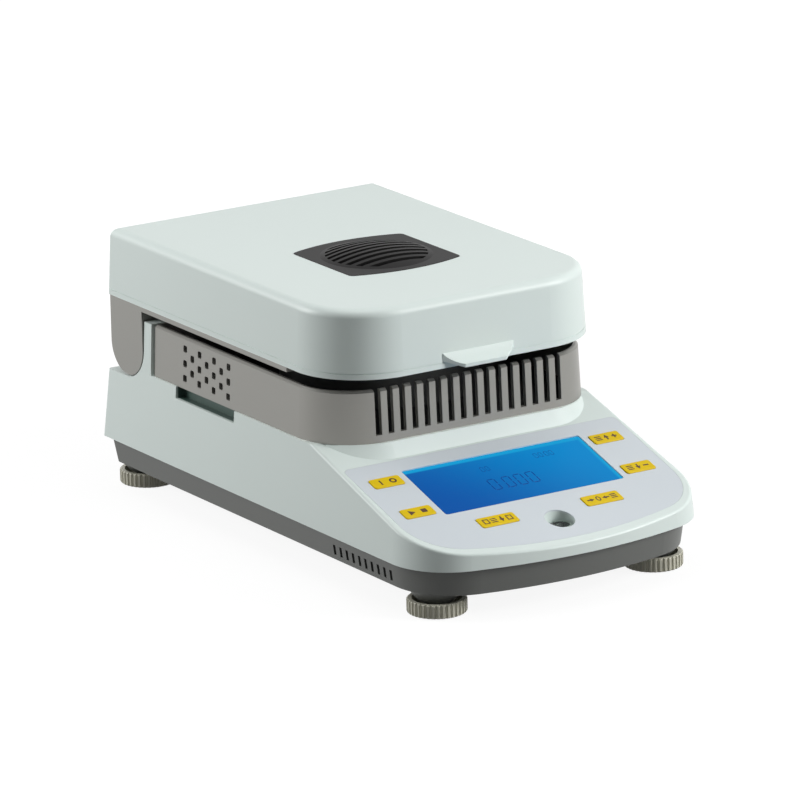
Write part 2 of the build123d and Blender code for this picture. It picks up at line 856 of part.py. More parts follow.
with BuildPart() as draft_ring:
    with BuildSketch(Plane.XY.offset(shield_top)):
        with Locations((0, chamber_y)):
            Circle(draft_r)
            Circle(draft_r - draft_t, mode=Mode.SUBTRACT)
    extrude(amount=draft_h)
save(draft_ring.part, "draft_ring")

# Pan support: a three-armed spider on a stem that stands on the load cell
support_z = shoulder_z + support_top
with BuildPart() as pan_support:
    with BuildSketch(Plane.XY.offset(support_z - support_t)):
        with Locations((0, chamber_y)):
            Circle(support_hub_r)
            with PolarLocations(support_reach / 2, 3):
                Rectangle(support_reach, support_arm_w)
    extrude(amount=support_t)
    with BuildSketch(Plane.XY.offset(cell_top)):
        with Locations((0, chamber_y)):
            Circle(stem_r)
    extrude(amount=support_z - cell_top)
save(pan_support.part, "pan_support")

with BuildPart() as sample_pan:
    with BuildSketch(Plane.XZ):
        with BuildLine():
            Polyline(
                (0, support_z), (dish_r, support_z), (dish_r, support_z + dish_h - dish_t),
                (dish_r + dish_rim, support_z + dish_h - dish_t), (dish_r + dish_rim, support_z + dish_h),
                (dish_r - dish_t, support_z + dish_h), (dish_r - dish_t, support_z + dish_t),
                (0, support_z + dish_t), close=True,
            )
        make_face()
    revolve(axis=Axis.Z)
save(sample_pan.part.moved(chamber), "sample_pan")

# Load cell: an aluminium beam with its dumbbell cut, held at the back and free under the pan
cell_y = chamber_y - cell_overlap
cell_bottom = cell_top - cell_h
with BuildPart() as load_cell:
    add(block((-cell_w / 2, cell_y, cell_bottom), (cell_w / 2, cell_y + cell_l, cell_top)))
    with BuildSketch(Plane.YZ):
        with Locations((cell_y + cell_l / 2, (cell_top + cell_bottom) / 2)):
            with GridLocations(cell_hole_spread, 1, 2, 1):
                Circle(cell_hole_r)
            Rectangle(cell_hole_spread, cell_slot_h)
    extrude(amount=cell_w, both=True, mode=Mode.SUBTRACT)
save(load_cell.part, "load_cell")

with BuildPart() as load_cell_base:
    rear = cell_y + cell_l
    add(block((-cell_w / 2, rear - cell_foot_l, floor_z), (cell_w / 2, rear, cell_bottom)))
    add(block((-cell_w, rear - cell_foot_l, floor_z), (cell_w, rear, floor_z + base_flange_t)))
    with BuildSketch(Plane.XY.offset(cell_bottom)):
        with Locations((0, rear - cell_foot_l / 2)):
            with GridLocations(1, cell_foot_l / 2, 1, 2):
                Circle(cell_screw_r)
    extrude(amount=-cell_h, mode=Mode.SUBTRACT)
save(load_cell_base.part, "load_cell_base")

# Boards on the tray floor
with BuildPart() as board_standoffs:
    for low, size in board_spots.values():
        with BuildSketch(Plane.XY.offset(floor_z)):
            with Locations(low):
                with GridLocations(size[0] - 2 * board_inset, size[1] - 2 * board_inset, 2, 2):
                    Circle(standoff_r)
        extrude(amount=board_up)
save(board_standoffs.part, "board_standoffs")

# Load cell screws: two up through the base, with their heads in the tray's floor seat
with BuildPart() as load_cell_screws:
    rear = cell_y + cell_l
    with BuildSketch(Plane.XY.offset(cell_bottom - cell_h / 2)):
        with Locations((0, rear - cell_foot_l / 2)):
            with GridLocations(1, cell_foot_l / 2, 1, 2):
                Circle(cell_screw_r)
    extrude(amount=cell_h / 2)
save(load_cell_screws.part, "load_cell_screws")


def circuit_board(spot, chips):
    """Board on its standoffs, with blocks standing on it: (x, y, width, length, height)."""
    (x, y), (wide, long) = board_spots[spot]
    low = floor_z + board_up
    with BuildPart() as board:
        add(block((x - wide / 2, y - long / 2, low), (x + wide / 2, y + long / 2, low + board_t)))
        for dx, dy, w, l, h in chips:
            corner = (x + dx - w / 2, y + dy - l / 2, low + board_t)
            add(block(corner, (corner[0] + w, corner[1] + l, corner[2] + h)))
    return board.part


save(circuit_board("main", main_chips), "main_board")
save(circuit_board("power", power_chips), "power_board")


# Mains inlet: a flanged socket with three pins, over a fuse drawer
inlet_face = socket_face + socket_flange
with BuildPart() as mains_inlet:
    half, high = inlet_flange[0] / 2, inlet_flange[1] / 2
    add(block((inlet_x - half, socket_face, socket_z - high), (inlet_x + half, inlet_face, socket_z + high)))
    fillet(mains_inlet.edges().filter_by(Axis.Y), inlet_corner_r)
    half, high = inlet_hole[0] / 2 - key_gap, inlet_hole[1] / 2 - key_gap
    deep = inlet_face - inlet_depth
    add(block((inlet_x - half, deep, socket_z - high), (inlet_x + half, socket_face, socket_z + high)))
    with BuildSketch(Plane.XZ.offset(-inlet_face)) as cavity:
        with Locations((inlet_x, socket_z + cavity_up)):
            Rectangle(*cavity_size)
        chamfer(cavity.vertices().group_by(Axis.Y)[-1], cavity_cut)
    extrude(amount=cavity_depth, mode=Mode.SUBTRACT)
    with BuildSketch(Plane.XZ.offset(-inlet_face)):
        with Locations((inlet_x, socket_z - drawer_down)):
            Rectangle(drawer_size[0] + 2 * drawer_gap, drawer_size[1] + 2 * drawer_gap)
    extrude(amount=drawer_depth + drawer_gap, mode=Mode.SUBTRACT)
    add(socket_screw_holes(socket_screw_r + thread_gap), mode=Mode.SUBTRACT)
save(mains_inlet.part, "mains_inlet")

with BuildPart() as inlet_pins:
    with BuildSketch(Plane.XZ.offset(-inlet_face + cavity_depth)):
        with Locations((inlet_x, socket_z + cavity_up + pin_raise),
                       (inlet_x - pin_spread, socket_z + cavity_up - pin_raise),
                       (inlet_x + pin_spread, socket_z + cavity_up - pin_raise)):
            Rectangle(*pin_size)
    extrude(amount=pin_back - cavity_depth)
save(inlet_pins.part, "inlet_pins")

with BuildPart() as fuse_drawer:
    with BuildSketch(Plane.XZ.offset(-inlet_face)):
        with Locations((inlet_x, socket_z - drawer_down)):
            Rectangle(*drawer_size)
    extrude(amount=drawer_depth)
    with BuildSketch(Plane.XZ.offset(-inlet_face)):
        with Locations((inlet_x, socket_z - drawer_down)):
            Rectangle(drawer_size[0] + drawer_lip, drawer_size[1] + drawer_lip)
    extrude(amount=-drawer_lip)
    with BuildSketch(Plane.XZ.offset(-inlet_face - drawer_lip)):
        with Locations((inlet_x, socket_z - drawer_down)):
            SlotOverall(*drawer_grip)
    extrude(amount=drawer_lip, mode=Mode.SUBTRACT)
save(fuse_drawer.part, "fuse_drawer")


def socket_screws(x, spread, face, outline, high):
    """Pair of screws in a socket's flange, with heads of the given outline and height."""
    with BuildPart() as pair:
        with BuildSketch(Plane.XZ.offset(-face)):
            with Locations((x, socket_z)):
                with GridLocations(spread, 1, 2, 1):
                    add(outline)
        extrude(amount=-high)
        with BuildSketch(Plane.XZ.offset(-face)):
            with Locations((x, socket_z)):
                with GridLocations(spread, 1, 2, 1):
                    Circle(socket_screw_r)
        extrude(amount=face - socket_face + 2 * socket_wall)
    return pair.part


with BuildSketch() as round_head:
    Circle(socket_head_r)
with BuildSketch() as hex_head:
    RegularPolygon(jack_post_af / 2, 6, major_radius=False)
save(socket_screws(inlet_x, inlet_screw_spread, inlet_face, round_head.sketch, screw_head_h), "inlet_screws")


def shell_outline(grow):
    """Tapered outline of the serial port's shell, wider at the top."""
    wide, high = serial_shell[0] / 2 + grow, serial_shell[1] / 2 + grow
    with BuildSketch(Plane.XZ.offset(-socket_face)) as outline:
        with Locations((serial_x, socket_z)):
            low = wide - serial_slant
            Polygon((-wide, high), (wide, high), (low, -high), (-low, -high), align=None)
        fillet(outline.vertices(), serial_corner_r)
    return outline.sketch


serial_face = socket_face + socket_flange / 2
with BuildPart() as serial_port:
    half, high = serial_flange[0] / 2, serial_flange[1] / 2
    low = (serial_x - half, socket_face, socket_z - high)
    add(block(low, (serial_x + half, serial_face, socket_z + high)))
    extrude(shell_outline(0), amount=-socket_flange - serial_reach)
    extrude(shell_outline(-serial_shell_t), amount=-socket_flange - serial_reach, mode=Mode.SUBTRACT)
    add(socket_screw_holes(socket_screw_r + thread_gap), mode=Mode.SUBTRACT)
save(serial_port.part, "serial_port")

with BuildPart() as serial_insert:
    extrude(shell_outline(-serial_shell_t), amount=-socket_flange - serial_reach)
    extrude(shell_outline(-serial_shell_t), amount=2 * serial_reach)
    with BuildSketch(Plane.XZ.offset(-socket_face - socket_flange - serial_reach)):
        for row, pins in ((0.5, 5), (-0.5, 4)):
            with Locations((serial_x, socket_z + row * serial_pin_pitch)):
                with GridLocations(serial_pin_pitch, 1, pins, 1):
                    Circle(serial_pin_r)
    extrude(amount=serial_reach, mode=Mode.SUBTRACT)
save(serial_insert.part, "serial_insert")
save(socket_screws(serial_x, serial_screw_spread, serial_face, hex_head.sketch, jack_post_l), "serial_posts")

# Hinge: two short pins in the pedestal, each in a bush inside one arm of the lid
with BuildPart() as hinge_pins:
    for side in (-1, 1):
        inner = pedestal_w / 2 - pin_grip
        outer = arm_in + bush_l - pin_end
        with BuildSketch(Plane.YZ.offset(side * inner)):
            with Locations((pivot_y, pivot_z)):
                Circle(pin_r)
        extrude(amount=side * (outer - inner))
save(hinge_pins.part, "hinge_pins")

with BuildPart() as hinge_bushes:
    for side in (-1, 1):
        with BuildSketch(Plane.YZ.offset(side * arm_in)):
            with Locations((pivot_y, pivot_z)):
                Circle(bush_r)
                Circle(pin_r + pin_fit, mode=Mode.SUBTRACT)
        extrude(amount=side * bush_l)
save(hinge_bushes.part, "hinge_bushes")


def lid_section(height, inset):
    """Plan of the lid, moved in by inset."""
    front_r, rear_r = lid_front_r - inset, max(lid_rear_r - inset, least_r)
    return plan(height, lid_w / 2 - inset, lid_front_y + inset, lid_rear_y - inset, front_r, rear_r)


def lid_form(inset, low):
    """Closed form of the lid, from low up, with rounded top edges, moved in by inset."""
    high = lid_z + lid_h - inset
    with BuildPart() as form:
        extrude(lid_section(low, inset), amount=high - low, taper=lid_taper)
        fillet(form.faces().sort_by(Axis.Z)[-1].edges(), lid_top_r - inset)
    return form.part


def grille_outline(height, inset):
    """Outline of the vent grille, with bowed front and rear edges, moved in by inset."""
    half_w, half_l = grille_w / 2 - inset, grille_l / 2 - inset
    with BuildSketch(Plane.XY.offset(height)) as outline:
        with BuildLine():
            for end in (-1, 1):
                side, y = end * half_w, chamber_y + end * half_l
                Line((side, chamber_y - end * half_l), (side, y))
                ThreePointArc((side, y), (0, y + end * grille_bow), (-side, y))
        make_face()
        fillet(outline.vertices(), max(grille_r - inset, least_r))
    return outline.sketch


# Lid cover: a pale shell with a finger tab at the front and a seat for the vent grille
lid_top = lid_z + lid_h
lid_post_rows = (lid_front_y + lid_post_front, lid_rear_y - lid_post_rear)
lid_posts = [(side * lid_post_x, y) for side in (-1, 1) for y in lid_post_rows]
tab_front = lid_front_y - tab_reach
tab_low = lid_z + tab_up
with BuildPart() as tab_shape:
    with BuildSketch(Plane.XY.offset(lid_z)):
        with BuildLine():
            root_y = lid_front_y + lid_wall
            Polyline(
                (-tab_root_w / 2, root_y), (-tab_root_w / 2, lid_front_y), (-tab_w / 2, tab_front),
                (tab_w / 2, tab_front), (tab_root_w / 2, lid_front_y), (tab_root_w / 2, root_y), close=True,
            )
        make_face()
    extrude(amount=2 * tab_root[1])
    # Side view: thin at the tip, rising underneath and scooped on top towards the lid's front
    with BuildSketch(Plane.YZ):
        with BuildLine():
            tip, crest = (tab_front, tab_low + tab_t), (lid_front_y, lid_z + tab_root[1])
            Polyline(tip, (tab_front, tab_low), (lid_front_y, lid_z + tab_root[0]),
                     (root_y, lid_z + tab_root[0]), (root_y, crest[1]), crest)
            SagittaArc(crest, tip, tab_t / 2)
        make_face()
    extrude(amount=tab_root_w, both=True, mode=Mode.INTERSECT)
with BuildPart() as lid_groove:
    extrude(lid_section(lid_z + groove_up, -lid_wall), amount=groove_w)
    depth = groove_d + groove_up * tan(radians(lid_taper))
    extrude(lid_section(lid_z + groove_up, depth), amount=groove_w, mode=Mode.SUBTRACT)
with BuildPart() as lid_cover:
    add(lid_form(0, lid_z))
    add(lid_groove.part, mode=Mode.SUBTRACT)
    add(tab_shape.part)
    add(lid_form(lid_wall, lid_z - cut_over), mode=Mode.SUBTRACT)
    add(posts(post_r, pan_top, lid_top - lid_wall, lid_posts))
    extrude(grille_outline(lid_top - grille_seat, -film_gap), amount=grille_rise, mode=Mode.SUBTRACT)
    extrude(grille_outline(lid_top - 3 * lid_wall, grille_lip), amount=4 * lid_wall, mode=Mode.SUBTRACT)
    with BuildSketch(Plane.XY.offset(pan_top)):
        with Locations(*lid_posts):
            Circle(screw_r)
    extrude(amount=lid_screw_l + wall, mode=Mode.SUBTRACT)
save(lid_cover.part, "lid_cover")

# Vent grille: a black insert with louvres across a round, slightly domed field
dome_base_r = vent_r + vent_rim
dome_sphere_r = (dome_base_r**2 + grille_rise**2) / (2 * grille_rise)
grille_face = lid_top + grille_proud
with BuildPart() as grille_dome:
    with Locations((0, chamber_y, grille_face + grille_rise - dome_sphere_r)):
        Sphere(dome_sphere_r)
    extrude(grille_outline(grille_face, 0), amount=grille_rise, mode=Mode.INTERSECT)
with BuildPart() as vent_grille:
    extrude(grille_outline(lid_top - grille_seat, 0), amount=grille_seat + grille_proud)
    fillet(vent_grille.faces().sort_by(Axis.Z)[-1].edges(), grille_edge_r)
    add(grille_dome.part)
    with Locations((0, chamber_y, grille_face + grille_rise - dome_sphere_r)):
        Sphere(dome_sphere_r - grille_t, mode=Mode.SUBTRACT)
    skirt_z = lid_top - grille_seat - grille_skirt
    extrude(grille_outline(skirt_z, grille_lip + film_gap), amount=grille_skirt)
    extrude(grille_outline(skirt_z, grille_lip + grille_t), amount=grille_skirt, mode=Mode.SUBTRACT)
    with BuildSketch(Plane.XY.offset(lid_top - grille_seat)):
        with Locations((0, chamber_y)):
            with GridLocations(1, vent_pitch, 1, vent_count):
                Rectangle(2 * vent_r, vent_slot)
            Circle(vent_r, mode=Mode.INTERSECT)
    extrude(amount=2 * grille_seat + grille_rise, mode=Mode.SUBTRACT)
save(vent_grille.part, "vent_grille")

# Inner pan of the lid: a plate with a rim, side rails below the cover's edge, and the two hinge arms
pan_inset = lid_wall + film_gap
rail_inner = lid_w / 2 - lid_wall - rail_w
with BuildPart() as lid_inner_pan:
    extrude(lid_section(lid_z, pan_inset), amount=pan_top - lid_z, taper=lid_taper)
    extrude(lid_section(lid_z, pan_inset + rail_w), amount=pan_plate_up, mode=Mode.SUBTRACT)
    for side in (-1, 1):
        low, high = min(side * arm_out, side * rail_inner), max(side * arm_out, side * rail_inner)
        add(block((low, front_y + rail_front, lid_z - rail_drop), (high, pivot_y, lid_z)))
        with BuildSketch(Plane.YZ.offset(side * arm_in)):
            with Locations((pivot_y, pivot_z)):
                Circle(arm_r)
            with Locations((pivot_y, (pivot_z + lid_z) / 2)):
                Rectangle(2 * arm_r, lid_z - pivot_z)
        extrude(amount=side * arm_w)
        with BuildSketch(Plane.XY.offset(lid_z)):
            with Locations((side * (arm_in + arm_w / 2), pivot_y)):
                Rectangle(arm_w - 2 * rail_w, 2 * arm_r - 2 * rail_w)
        extrude(amount=pan_plate_up)
    envelope = lid_section(pivot_z - 2 * arm_r, film_gap)
    extrude(envelope, amount=pan_top - pivot_z + 2 * arm_r, mode=Mode.INTERSECT)
    # Blind bores for the bushes
    for side in (-1, 1):
        with BuildSketch(Plane.YZ.offset(side * arm_in)):
            with Locations((pivot_y, pivot_z)):
                Circle(bush_r)
        extrude(amount=side * bush_l, mode=Mode.SUBTRACT)
    # Lamp opening and screw holes
    with BuildSketch(Plane.XY.offset(pan_z)):
        with Locations((0, chamber_y)):
            Circle(lamp_bore_r)
        with Locations(*lid_posts):
            Circle(screw_r + thread_gap)
    extrude(amount=pan_plate_t, mode=Mode.SUBTRACT)
save(lid_inner_pan.part, "lid_inner_pan")

with BuildPart() as lid_screws:
    for x, y in lid_posts:
        with Locations((x, y, pan_z - screw_head_h)):
            Cylinder(screw_head_r, screw_head_h, align=standing)
        with Locations((x, y, pan_z)):
            Cylinder(screw_r, lid_screw_l, align=standing)
save(lid_screws.part, "lid_screws")

# Lamp unit: a pot-shaped reflector on the plate, with a ring lamp hung from two ceramic sockets
lamp_z = pan_top + lamp_up
lamp_angle = radians(90 + lamp_gap_deg / 2)
lamp_side, lamp_back = lamp_ring_r * cos(lamp_angle), lamp_ring_r * sin(lamp_angle)
lamp_ends = [(side * lamp_side, chamber_y + lamp_back) for side in (-1, 1)]
reflector_top = pan_top + reflector_h
with BuildPart() as reflector:
    with Locations((0, chamber_y, pan_top)):
        Cone(lamp_bore_r, reflector_top_r, reflector_h, align=standing)
        fillet(reflector.faces().sort_by(Axis.Z)[-1].edges(), reflector_edge_r)
        Cylinder(reflector_rim_r, reflector_t, align=standing)
        inner_r, inner_h = reflector_top_r - reflector_t, reflector_h - reflector_t
        Cone(lamp_bore_r - reflector_t, inner_r, inner_h, align=standing, mode=Mode.SUBTRACT)
    with BuildSketch(Plane.XY.offset(reflector_top)):
        with Locations(*lamp_ends):
            Circle(lamp_end_r + key_gap)
        with Locations((0, chamber_y)):
            Circle(probe_r + film_gap)
    extrude(amount=-3 * reflector_t, mode=Mode.SUBTRACT)
save(reflector.part, "reflector")

with BuildPart() as halogen_lamp:
    start = (cos(lamp_angle), sin(lamp_angle), 0)
    with BuildSketch(Plane((0, chamber_y, lamp_z), x_dir=start, z_dir=(start[1], -start[0], 0))):
        with Locations((lamp_ring_r, 0)):
            Circle(lamp_tube_r)
    revolve(axis=Axis((0, chamber_y, lamp_z), (0, 0, 1)), revolution_arc=360 - lamp_gap_deg)
    for x, y in lamp_ends:
        with Locations((x, y, lamp_z)):
            Sphere(lamp_tube_r)
            Cylinder(lamp_end_r, reflector_top + socket_grip - lamp_z, align=standing)
save(halogen_lamp.part, "halogen_lamp")

with BuildPart() as lamp_sockets:
    for x, y in lamp_ends:
        with Locations((x, y, reflector_top)):
            Cylinder(lamp_socket_r, lamp_socket_h, align=standing)
            Cylinder(lamp_end_r + film_gap, socket_grip, align=standing, mode=Mode.SUBTRACT)
save(lamp_sockets.part, "lamp_sockets")

with BuildPart() as temperature_probe:
    with Locations((0, chamber_y, reflector_top - probe_l)):
        Cylinder(probe_r, probe_l, align=standing)
    with Locations((0, chamber_y, reflector_top)):
        Cylinder(probe_flange_r, probe_r, align=standing)
save(temperature_probe.part, "temperature_probe")

# Protective glass under the lamp opening, in a retaining ring
with BuildPart() as protective_glass:
    with Locations((0, chamber_y, pan_z - glass_t)):
        Cylinder(glass_r, glass_t, align=standing)
save(protective_glass.part, "protective_glass")

with BuildPart() as glass_retainer:
    with Locations((0, chamber_y, pan_z - glass_t - retainer_t)):
        Cylinder(glass_r + retainer_w, glass_t + retainer_t, align=standing)
        Cylinder(glass_r - retainer_lip, retainer_t, align=standing, mode=Mode.SUBTRACT)
    with Locations((0, chamber_y, pan_z - glass_t)):
        Cylinder(glass_r + film_gap, glass_t, align=standing, mode=Mode.SUBTRACT)
save(glass_retainer.part, "glass_retainer")
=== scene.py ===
# %% [markdown]
# # Dressing a grain moisture meter
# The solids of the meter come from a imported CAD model, already at their real size and place. This
# lesson adds what a solid can't say: the finish of every moulding, the printed marks, the lit display
# and the light that shows them. All lengths are in metres, and +X is the meter's right, its front
# faces -Y and +Z is up.

import json
from math import cos, pi, radians, sin

import bmesh
import bpy
from mathutils import Matrix, Vector


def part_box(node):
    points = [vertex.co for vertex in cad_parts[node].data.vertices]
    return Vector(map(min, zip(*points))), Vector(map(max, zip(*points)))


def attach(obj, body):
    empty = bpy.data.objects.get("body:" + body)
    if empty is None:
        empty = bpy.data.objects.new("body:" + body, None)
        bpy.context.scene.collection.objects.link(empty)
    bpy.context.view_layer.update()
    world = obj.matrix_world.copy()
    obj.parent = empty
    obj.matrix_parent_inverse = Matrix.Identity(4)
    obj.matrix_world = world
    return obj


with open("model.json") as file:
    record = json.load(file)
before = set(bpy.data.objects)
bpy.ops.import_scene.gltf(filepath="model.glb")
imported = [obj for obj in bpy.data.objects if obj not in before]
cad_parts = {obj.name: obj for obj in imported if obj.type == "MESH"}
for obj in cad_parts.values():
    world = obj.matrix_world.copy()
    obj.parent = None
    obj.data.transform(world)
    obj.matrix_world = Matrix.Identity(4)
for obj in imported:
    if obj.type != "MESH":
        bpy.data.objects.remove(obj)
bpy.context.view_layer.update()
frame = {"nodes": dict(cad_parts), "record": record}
nodes = frame["nodes"]
MM = 0.001

# %% [markdown]
# ## Camera
# A product photo is taken from far away with a long lens, so parallel edges stay nearly parallel. The
# camera here stands more than four metres off, a little to the meter's left and above it. Its place
# is given by two angles and a distance from a point inside the meter, which is easier to adjust than
# three coordinates.

# %% Camera
VIEW_AZIMUTH = radians(-32.08)
VIEW_ELEVATION = radians(16.01)
VIEW_ROLL = radians(-1.27)
VIEW_DISTANCE = 4.329
AIM_ASIDE = -0.0184
AIM_HEIGHT = 0.0821
AIM_BACK = -0.004
IMAGE_SIZE = 800
FOCAL_PIXELS = 7137
CENTRE_PIXEL = (376.5, 399.6)
SENSOR = 36.0


def place_camera():
    """Makes the camera, level with the view direction and rolled by the photographer's small error."""
    right = Vector((cos(VIEW_AZIMUTH), sin(VIEW_AZIMUTH), 0))
    flat = Vector((sin(VIEW_AZIMUTH), -cos(VIEW_AZIMUTH), 0))
    back = flat * cos(VIEW_ELEVATION) + Vector((0, 0, sin(VIEW_ELEVATION)))
    up = back.cross(right)
    side = right * cos(VIEW_ROLL) + up * sin(VIEW_ROLL)
    top = up * cos(VIEW_ROLL) - right * sin(VIEW_ROLL)
    eye = back * VIEW_DISTANCE + right * AIM_ASIDE + Vector((0, AIM_BACK, AIM_HEIGHT))
    data = bpy.data.cameras.new("camera")
    data.sensor_width = SENSOR
    data.lens = FOCAL_PIXELS / IMAGE_SIZE * SENSOR
    data.shift_x = (IMAGE_SIZE / 2 - CENTRE_PIXEL[0]) / IMAGE_SIZE
    data.shift_y = (CENTRE_PIXEL[1] - IMAGE_SIZE / 2) / IMAGE_SIZE
    data.clip_start = 0.1
    data.clip_end = 40
    camera = bpy.data.objects.new("camera", data)
    camera.matrix_world = Matrix.Translation(eye) @ Matrix((side, top, back)).transposed().to_4x4()
    bpy.context.scene.collection.objects.link(camera)
    bpy.context.scene.camera = camera
    return camera


camera = place_camera()
print("camera at", [round(value, 3) for value in camera.matrix_world.translation])

# %% [markdown]
# ## Helpers for node trees
# Materials below are built by code, so a few short helpers keep each one readable: one turns a colour
# as a painter sees it into the linear numbers that a shader needs, one adds a node, and one joins two
# sockets. Colours are given as red, green and blue from 0 to 255.


# %% Node helpers
def paint(red, green, blue):
    """Linear colour with alpha from red, green and blue between 0 and 255."""
    channels = []
    for value in (red, green, blue):
        share = value / 255
        channels.append(share / 12.92 if share <= 0.04045 else ((share + 0.055) / 1.055) ** 2.4)
    return (*channels, 1.0)


def add_node(tree, kind, **settings):
    """New node of a kind, with properties set by name and sockets set by a dict called inputs."""
    node = tree.nodes.new(kind)
    for name, value in settings.pop("inputs", {}).items():
        node.inputs[name].default_value = value
    for name, value in settings.items():
        setattr(node, name, value)
    return node


def join(tree, source, target):
    tree.links.new(source, target)


def new_group(name, inputs, outputs):
    """Shader node group with named sockets: its tree, its input node and its output node."""
    tree = bpy.data.node_groups.new(name, "ShaderNodeTree")
    for label, kind, value in inputs:
        socket = tree.interface.new_socket(label, in_out="INPUT", socket_type=kind)
        socket.default_value = value
    for label, kind in outputs:
        tree.interface.new_socket(label, in_out="OUTPUT", socket_type=kind)
    return tree, tree.nodes.new("NodeGroupInput"), tree.nodes.new("NodeGroupOutput")


# %% [markdown]
# ## Moulded skin
# A moulded housing is never one flat colour: the mould is spark-eroded, which leaves a fine grain of
# tiny pits, and the plastic is a little lighter or darker from place to place. One node group makes
# both, so every moulding shares it with its own colour, grain size and depth. The grain reads Object
# coordinates, which are real metres here, so a grain of 0.4 mm is 0.4 mm on every piece.

# %% Group: moulded skin
FLOAT, COLOUR = "NodeSocketFloat", "NodeSocketColor"


def moulded_skin():
    """Group that puts out the colour, roughness and height of a spark-eroded moulding."""
    tree, given, made = new_group(
        "moulded_skin",
        [("Color", COLOUR, (0.8, 0.8, 0.8, 1)), ("Roughness", FLOAT, 0.45), ("Grain mm", FLOAT, 0.4),
         ("Mottle", FLOAT, 0.02), ("Sheen change", FLOAT, 0.05)],
        [("Color", COLOUR), ("Roughness", FLOAT), ("Height", FLOAT)],
    )
    place = add_node(tree, "ShaderNodeTexCoord")
    per_metre = add_node(tree, "ShaderNodeMath", operation="DIVIDE", inputs={0: 1 / MM})
    join(tree, given.outputs["Grain mm"], per_metre.inputs[1])
    grain = add_node(tree, "ShaderNodeTexNoise", inputs={"Detail": 2.0, "Roughness": 0.6})
    join(tree, place.outputs["Object"], grain.inputs["Vector"])
    join(tree, per_metre.outputs[0], grain.inputs["Scale"])
    broad = add_node(tree, "ShaderNodeTexNoise", inputs={"Scale": 14.0, "Detail": 3.0})
    join(tree, place.outputs["Object"], broad.inputs["Vector"])
    # Broad lighter and darker places, centred on the given colour
    swing = add_node(tree, "ShaderNodeMath", operation="SUBTRACT", inputs={1: 0.5})
    join(tree, broad.outputs["Fac"], swing.inputs[0])
    mottle = add_node(tree, "ShaderNodeMath", operation="MULTIPLY_ADD", inputs={2: 1.0})
    join(tree, swing.outputs[0], mottle.inputs[0])
    join(tree, given.outputs["Mottle"], mottle.inputs[1])
    tone = add_node(tree, "ShaderNodeVectorMath", operation="SCALE")
    join(tree, given.outputs["Color"], tone.inputs[0])
    join(tree, mottle.outputs[0], tone.inputs["Scale"])
    join(tree, tone.outputs[0], made.inputs["Color"])
    sheen = add_node(tree, "ShaderNodeMath", operation="MULTIPLY_ADD")
    join(tree, swing.outputs[0], sheen.inputs[0])
    join(tree, given.outputs["Sheen change"], sheen.inputs[1])
    join(tree, given.outputs["Roughness"], sheen.inputs[2])
    join(tree, sheen.outputs[0], made.inputs["Roughness"])
    join(tree, grain.outputs["Fac"], made.inputs["Height"])
    return tree


MOULDED = moulded_skin()

# %% [markdown]
# ## Brushed metal
# Rolled or brushed sheet shows fine streaks along one direction. Stretching a noise far along one
# axis makes them, and the same streaks change the roughness a little, which is what breaks up the
# highlight. A turned or cast piece uses the group with no stretch.


# %% Group: brushed metal
def brushed_metal():
    """Group that puts out the colour, roughness and height of brushed or turned metal."""
    tree, given, made = new_group(
        "brushed_metal",
        [("Color", COLOUR, (0.7, 0.7, 0.7, 1)), ("Roughness", FLOAT, 0.3), ("Streak mm", FLOAT, 0.3),
         ("Stretch", FLOAT, 30.0), ("Contrast", FLOAT, 0.1)],
        [("Color", COLOUR), ("Roughness", FLOAT), ("Height", FLOAT)],
    )
    place = add_node(tree, "ShaderNodeTexCoord")
    per_metre = add_node(tree, "ShaderNodeMath", operation="DIVIDE", inputs={0: 1 / MM})
    join(tree, given.outputs["Streak mm"], per_metre.inputs[1])
    along = add_node(tree, "ShaderNodeMath", operation="DIVIDE")
    join(tree, per_metre.outputs[0], along.inputs[0])
    join(tree, given.outputs["Stretch"], along.inputs[1])
    squeeze = add_node(tree, "ShaderNodeCombineXYZ")
    join(tree, along.outputs[0], squeeze.inputs["X"])
    join(tree, along.outputs[0], squeeze.inputs["Y"])
    join(tree, per_metre.outputs[0], squeeze.inputs["Z"])
    spot = add_node(tree, "ShaderNodeVectorMath", operation="MULTIPLY")
    join(tree, place.outputs["Object"], spot.inputs[0])
    join(tree, squeeze.outputs[0], spot.inputs[1])
    streaks = add_node(tree, "ShaderNodeTexNoise", inputs={"Scale": 1.0, "Detail": 2.0})
    join(tree, spot.outputs[0], streaks.inputs["Vector"])
    swing = add_node(tree, "ShaderNodeMath", operation="SUBTRACT", inputs={1: 0.5})
    join(tree, streaks.outputs["Fac"], swing.inputs[0])
    change = add_node(tree, "ShaderNodeMath", operation="MULTIPLY")
    join(tree, swing.outputs[0], change.inputs[0])
    join(tree, given.outputs["Contrast"], change.inputs[1])
    lift = add_node(tree, "ShaderNodeMath", operation="ADD", inputs={1: 1.0})
    join(tree, change.outputs[0], lift.inputs[0])
    tone = add_node(tree, "ShaderNodeVectorMath", operation="SCALE")
    join(tree, given.outputs["Color"], tone.inputs[0])
    join(tree, lift.outputs[0], tone.inputs["Scale"])
    join(tree, tone.outputs[0], made.inputs["Color"])
    rough = add_node(tree, "ShaderNodeMath", operation="ADD")
    join(tree, given.outputs["Roughness"], rough.inputs[0])
    join(tree, change.outputs[0], rough.inputs[1])
    join(tree, rough.outputs[0], made.inputs["Roughness"])
    join(tree, streaks.outputs["Fac"], made.inputs["Height"])
    return tree


BRUSHED = brushed_metal()


# %% [markdown]
# ## From groups to materials
# Every material here is a Principled shader fed by one of the two groups, so a function makes them
# from a name and a few values. Values that are the same all over a piece, such as the specular level
# or the coat, are set on the shader's own sockets.


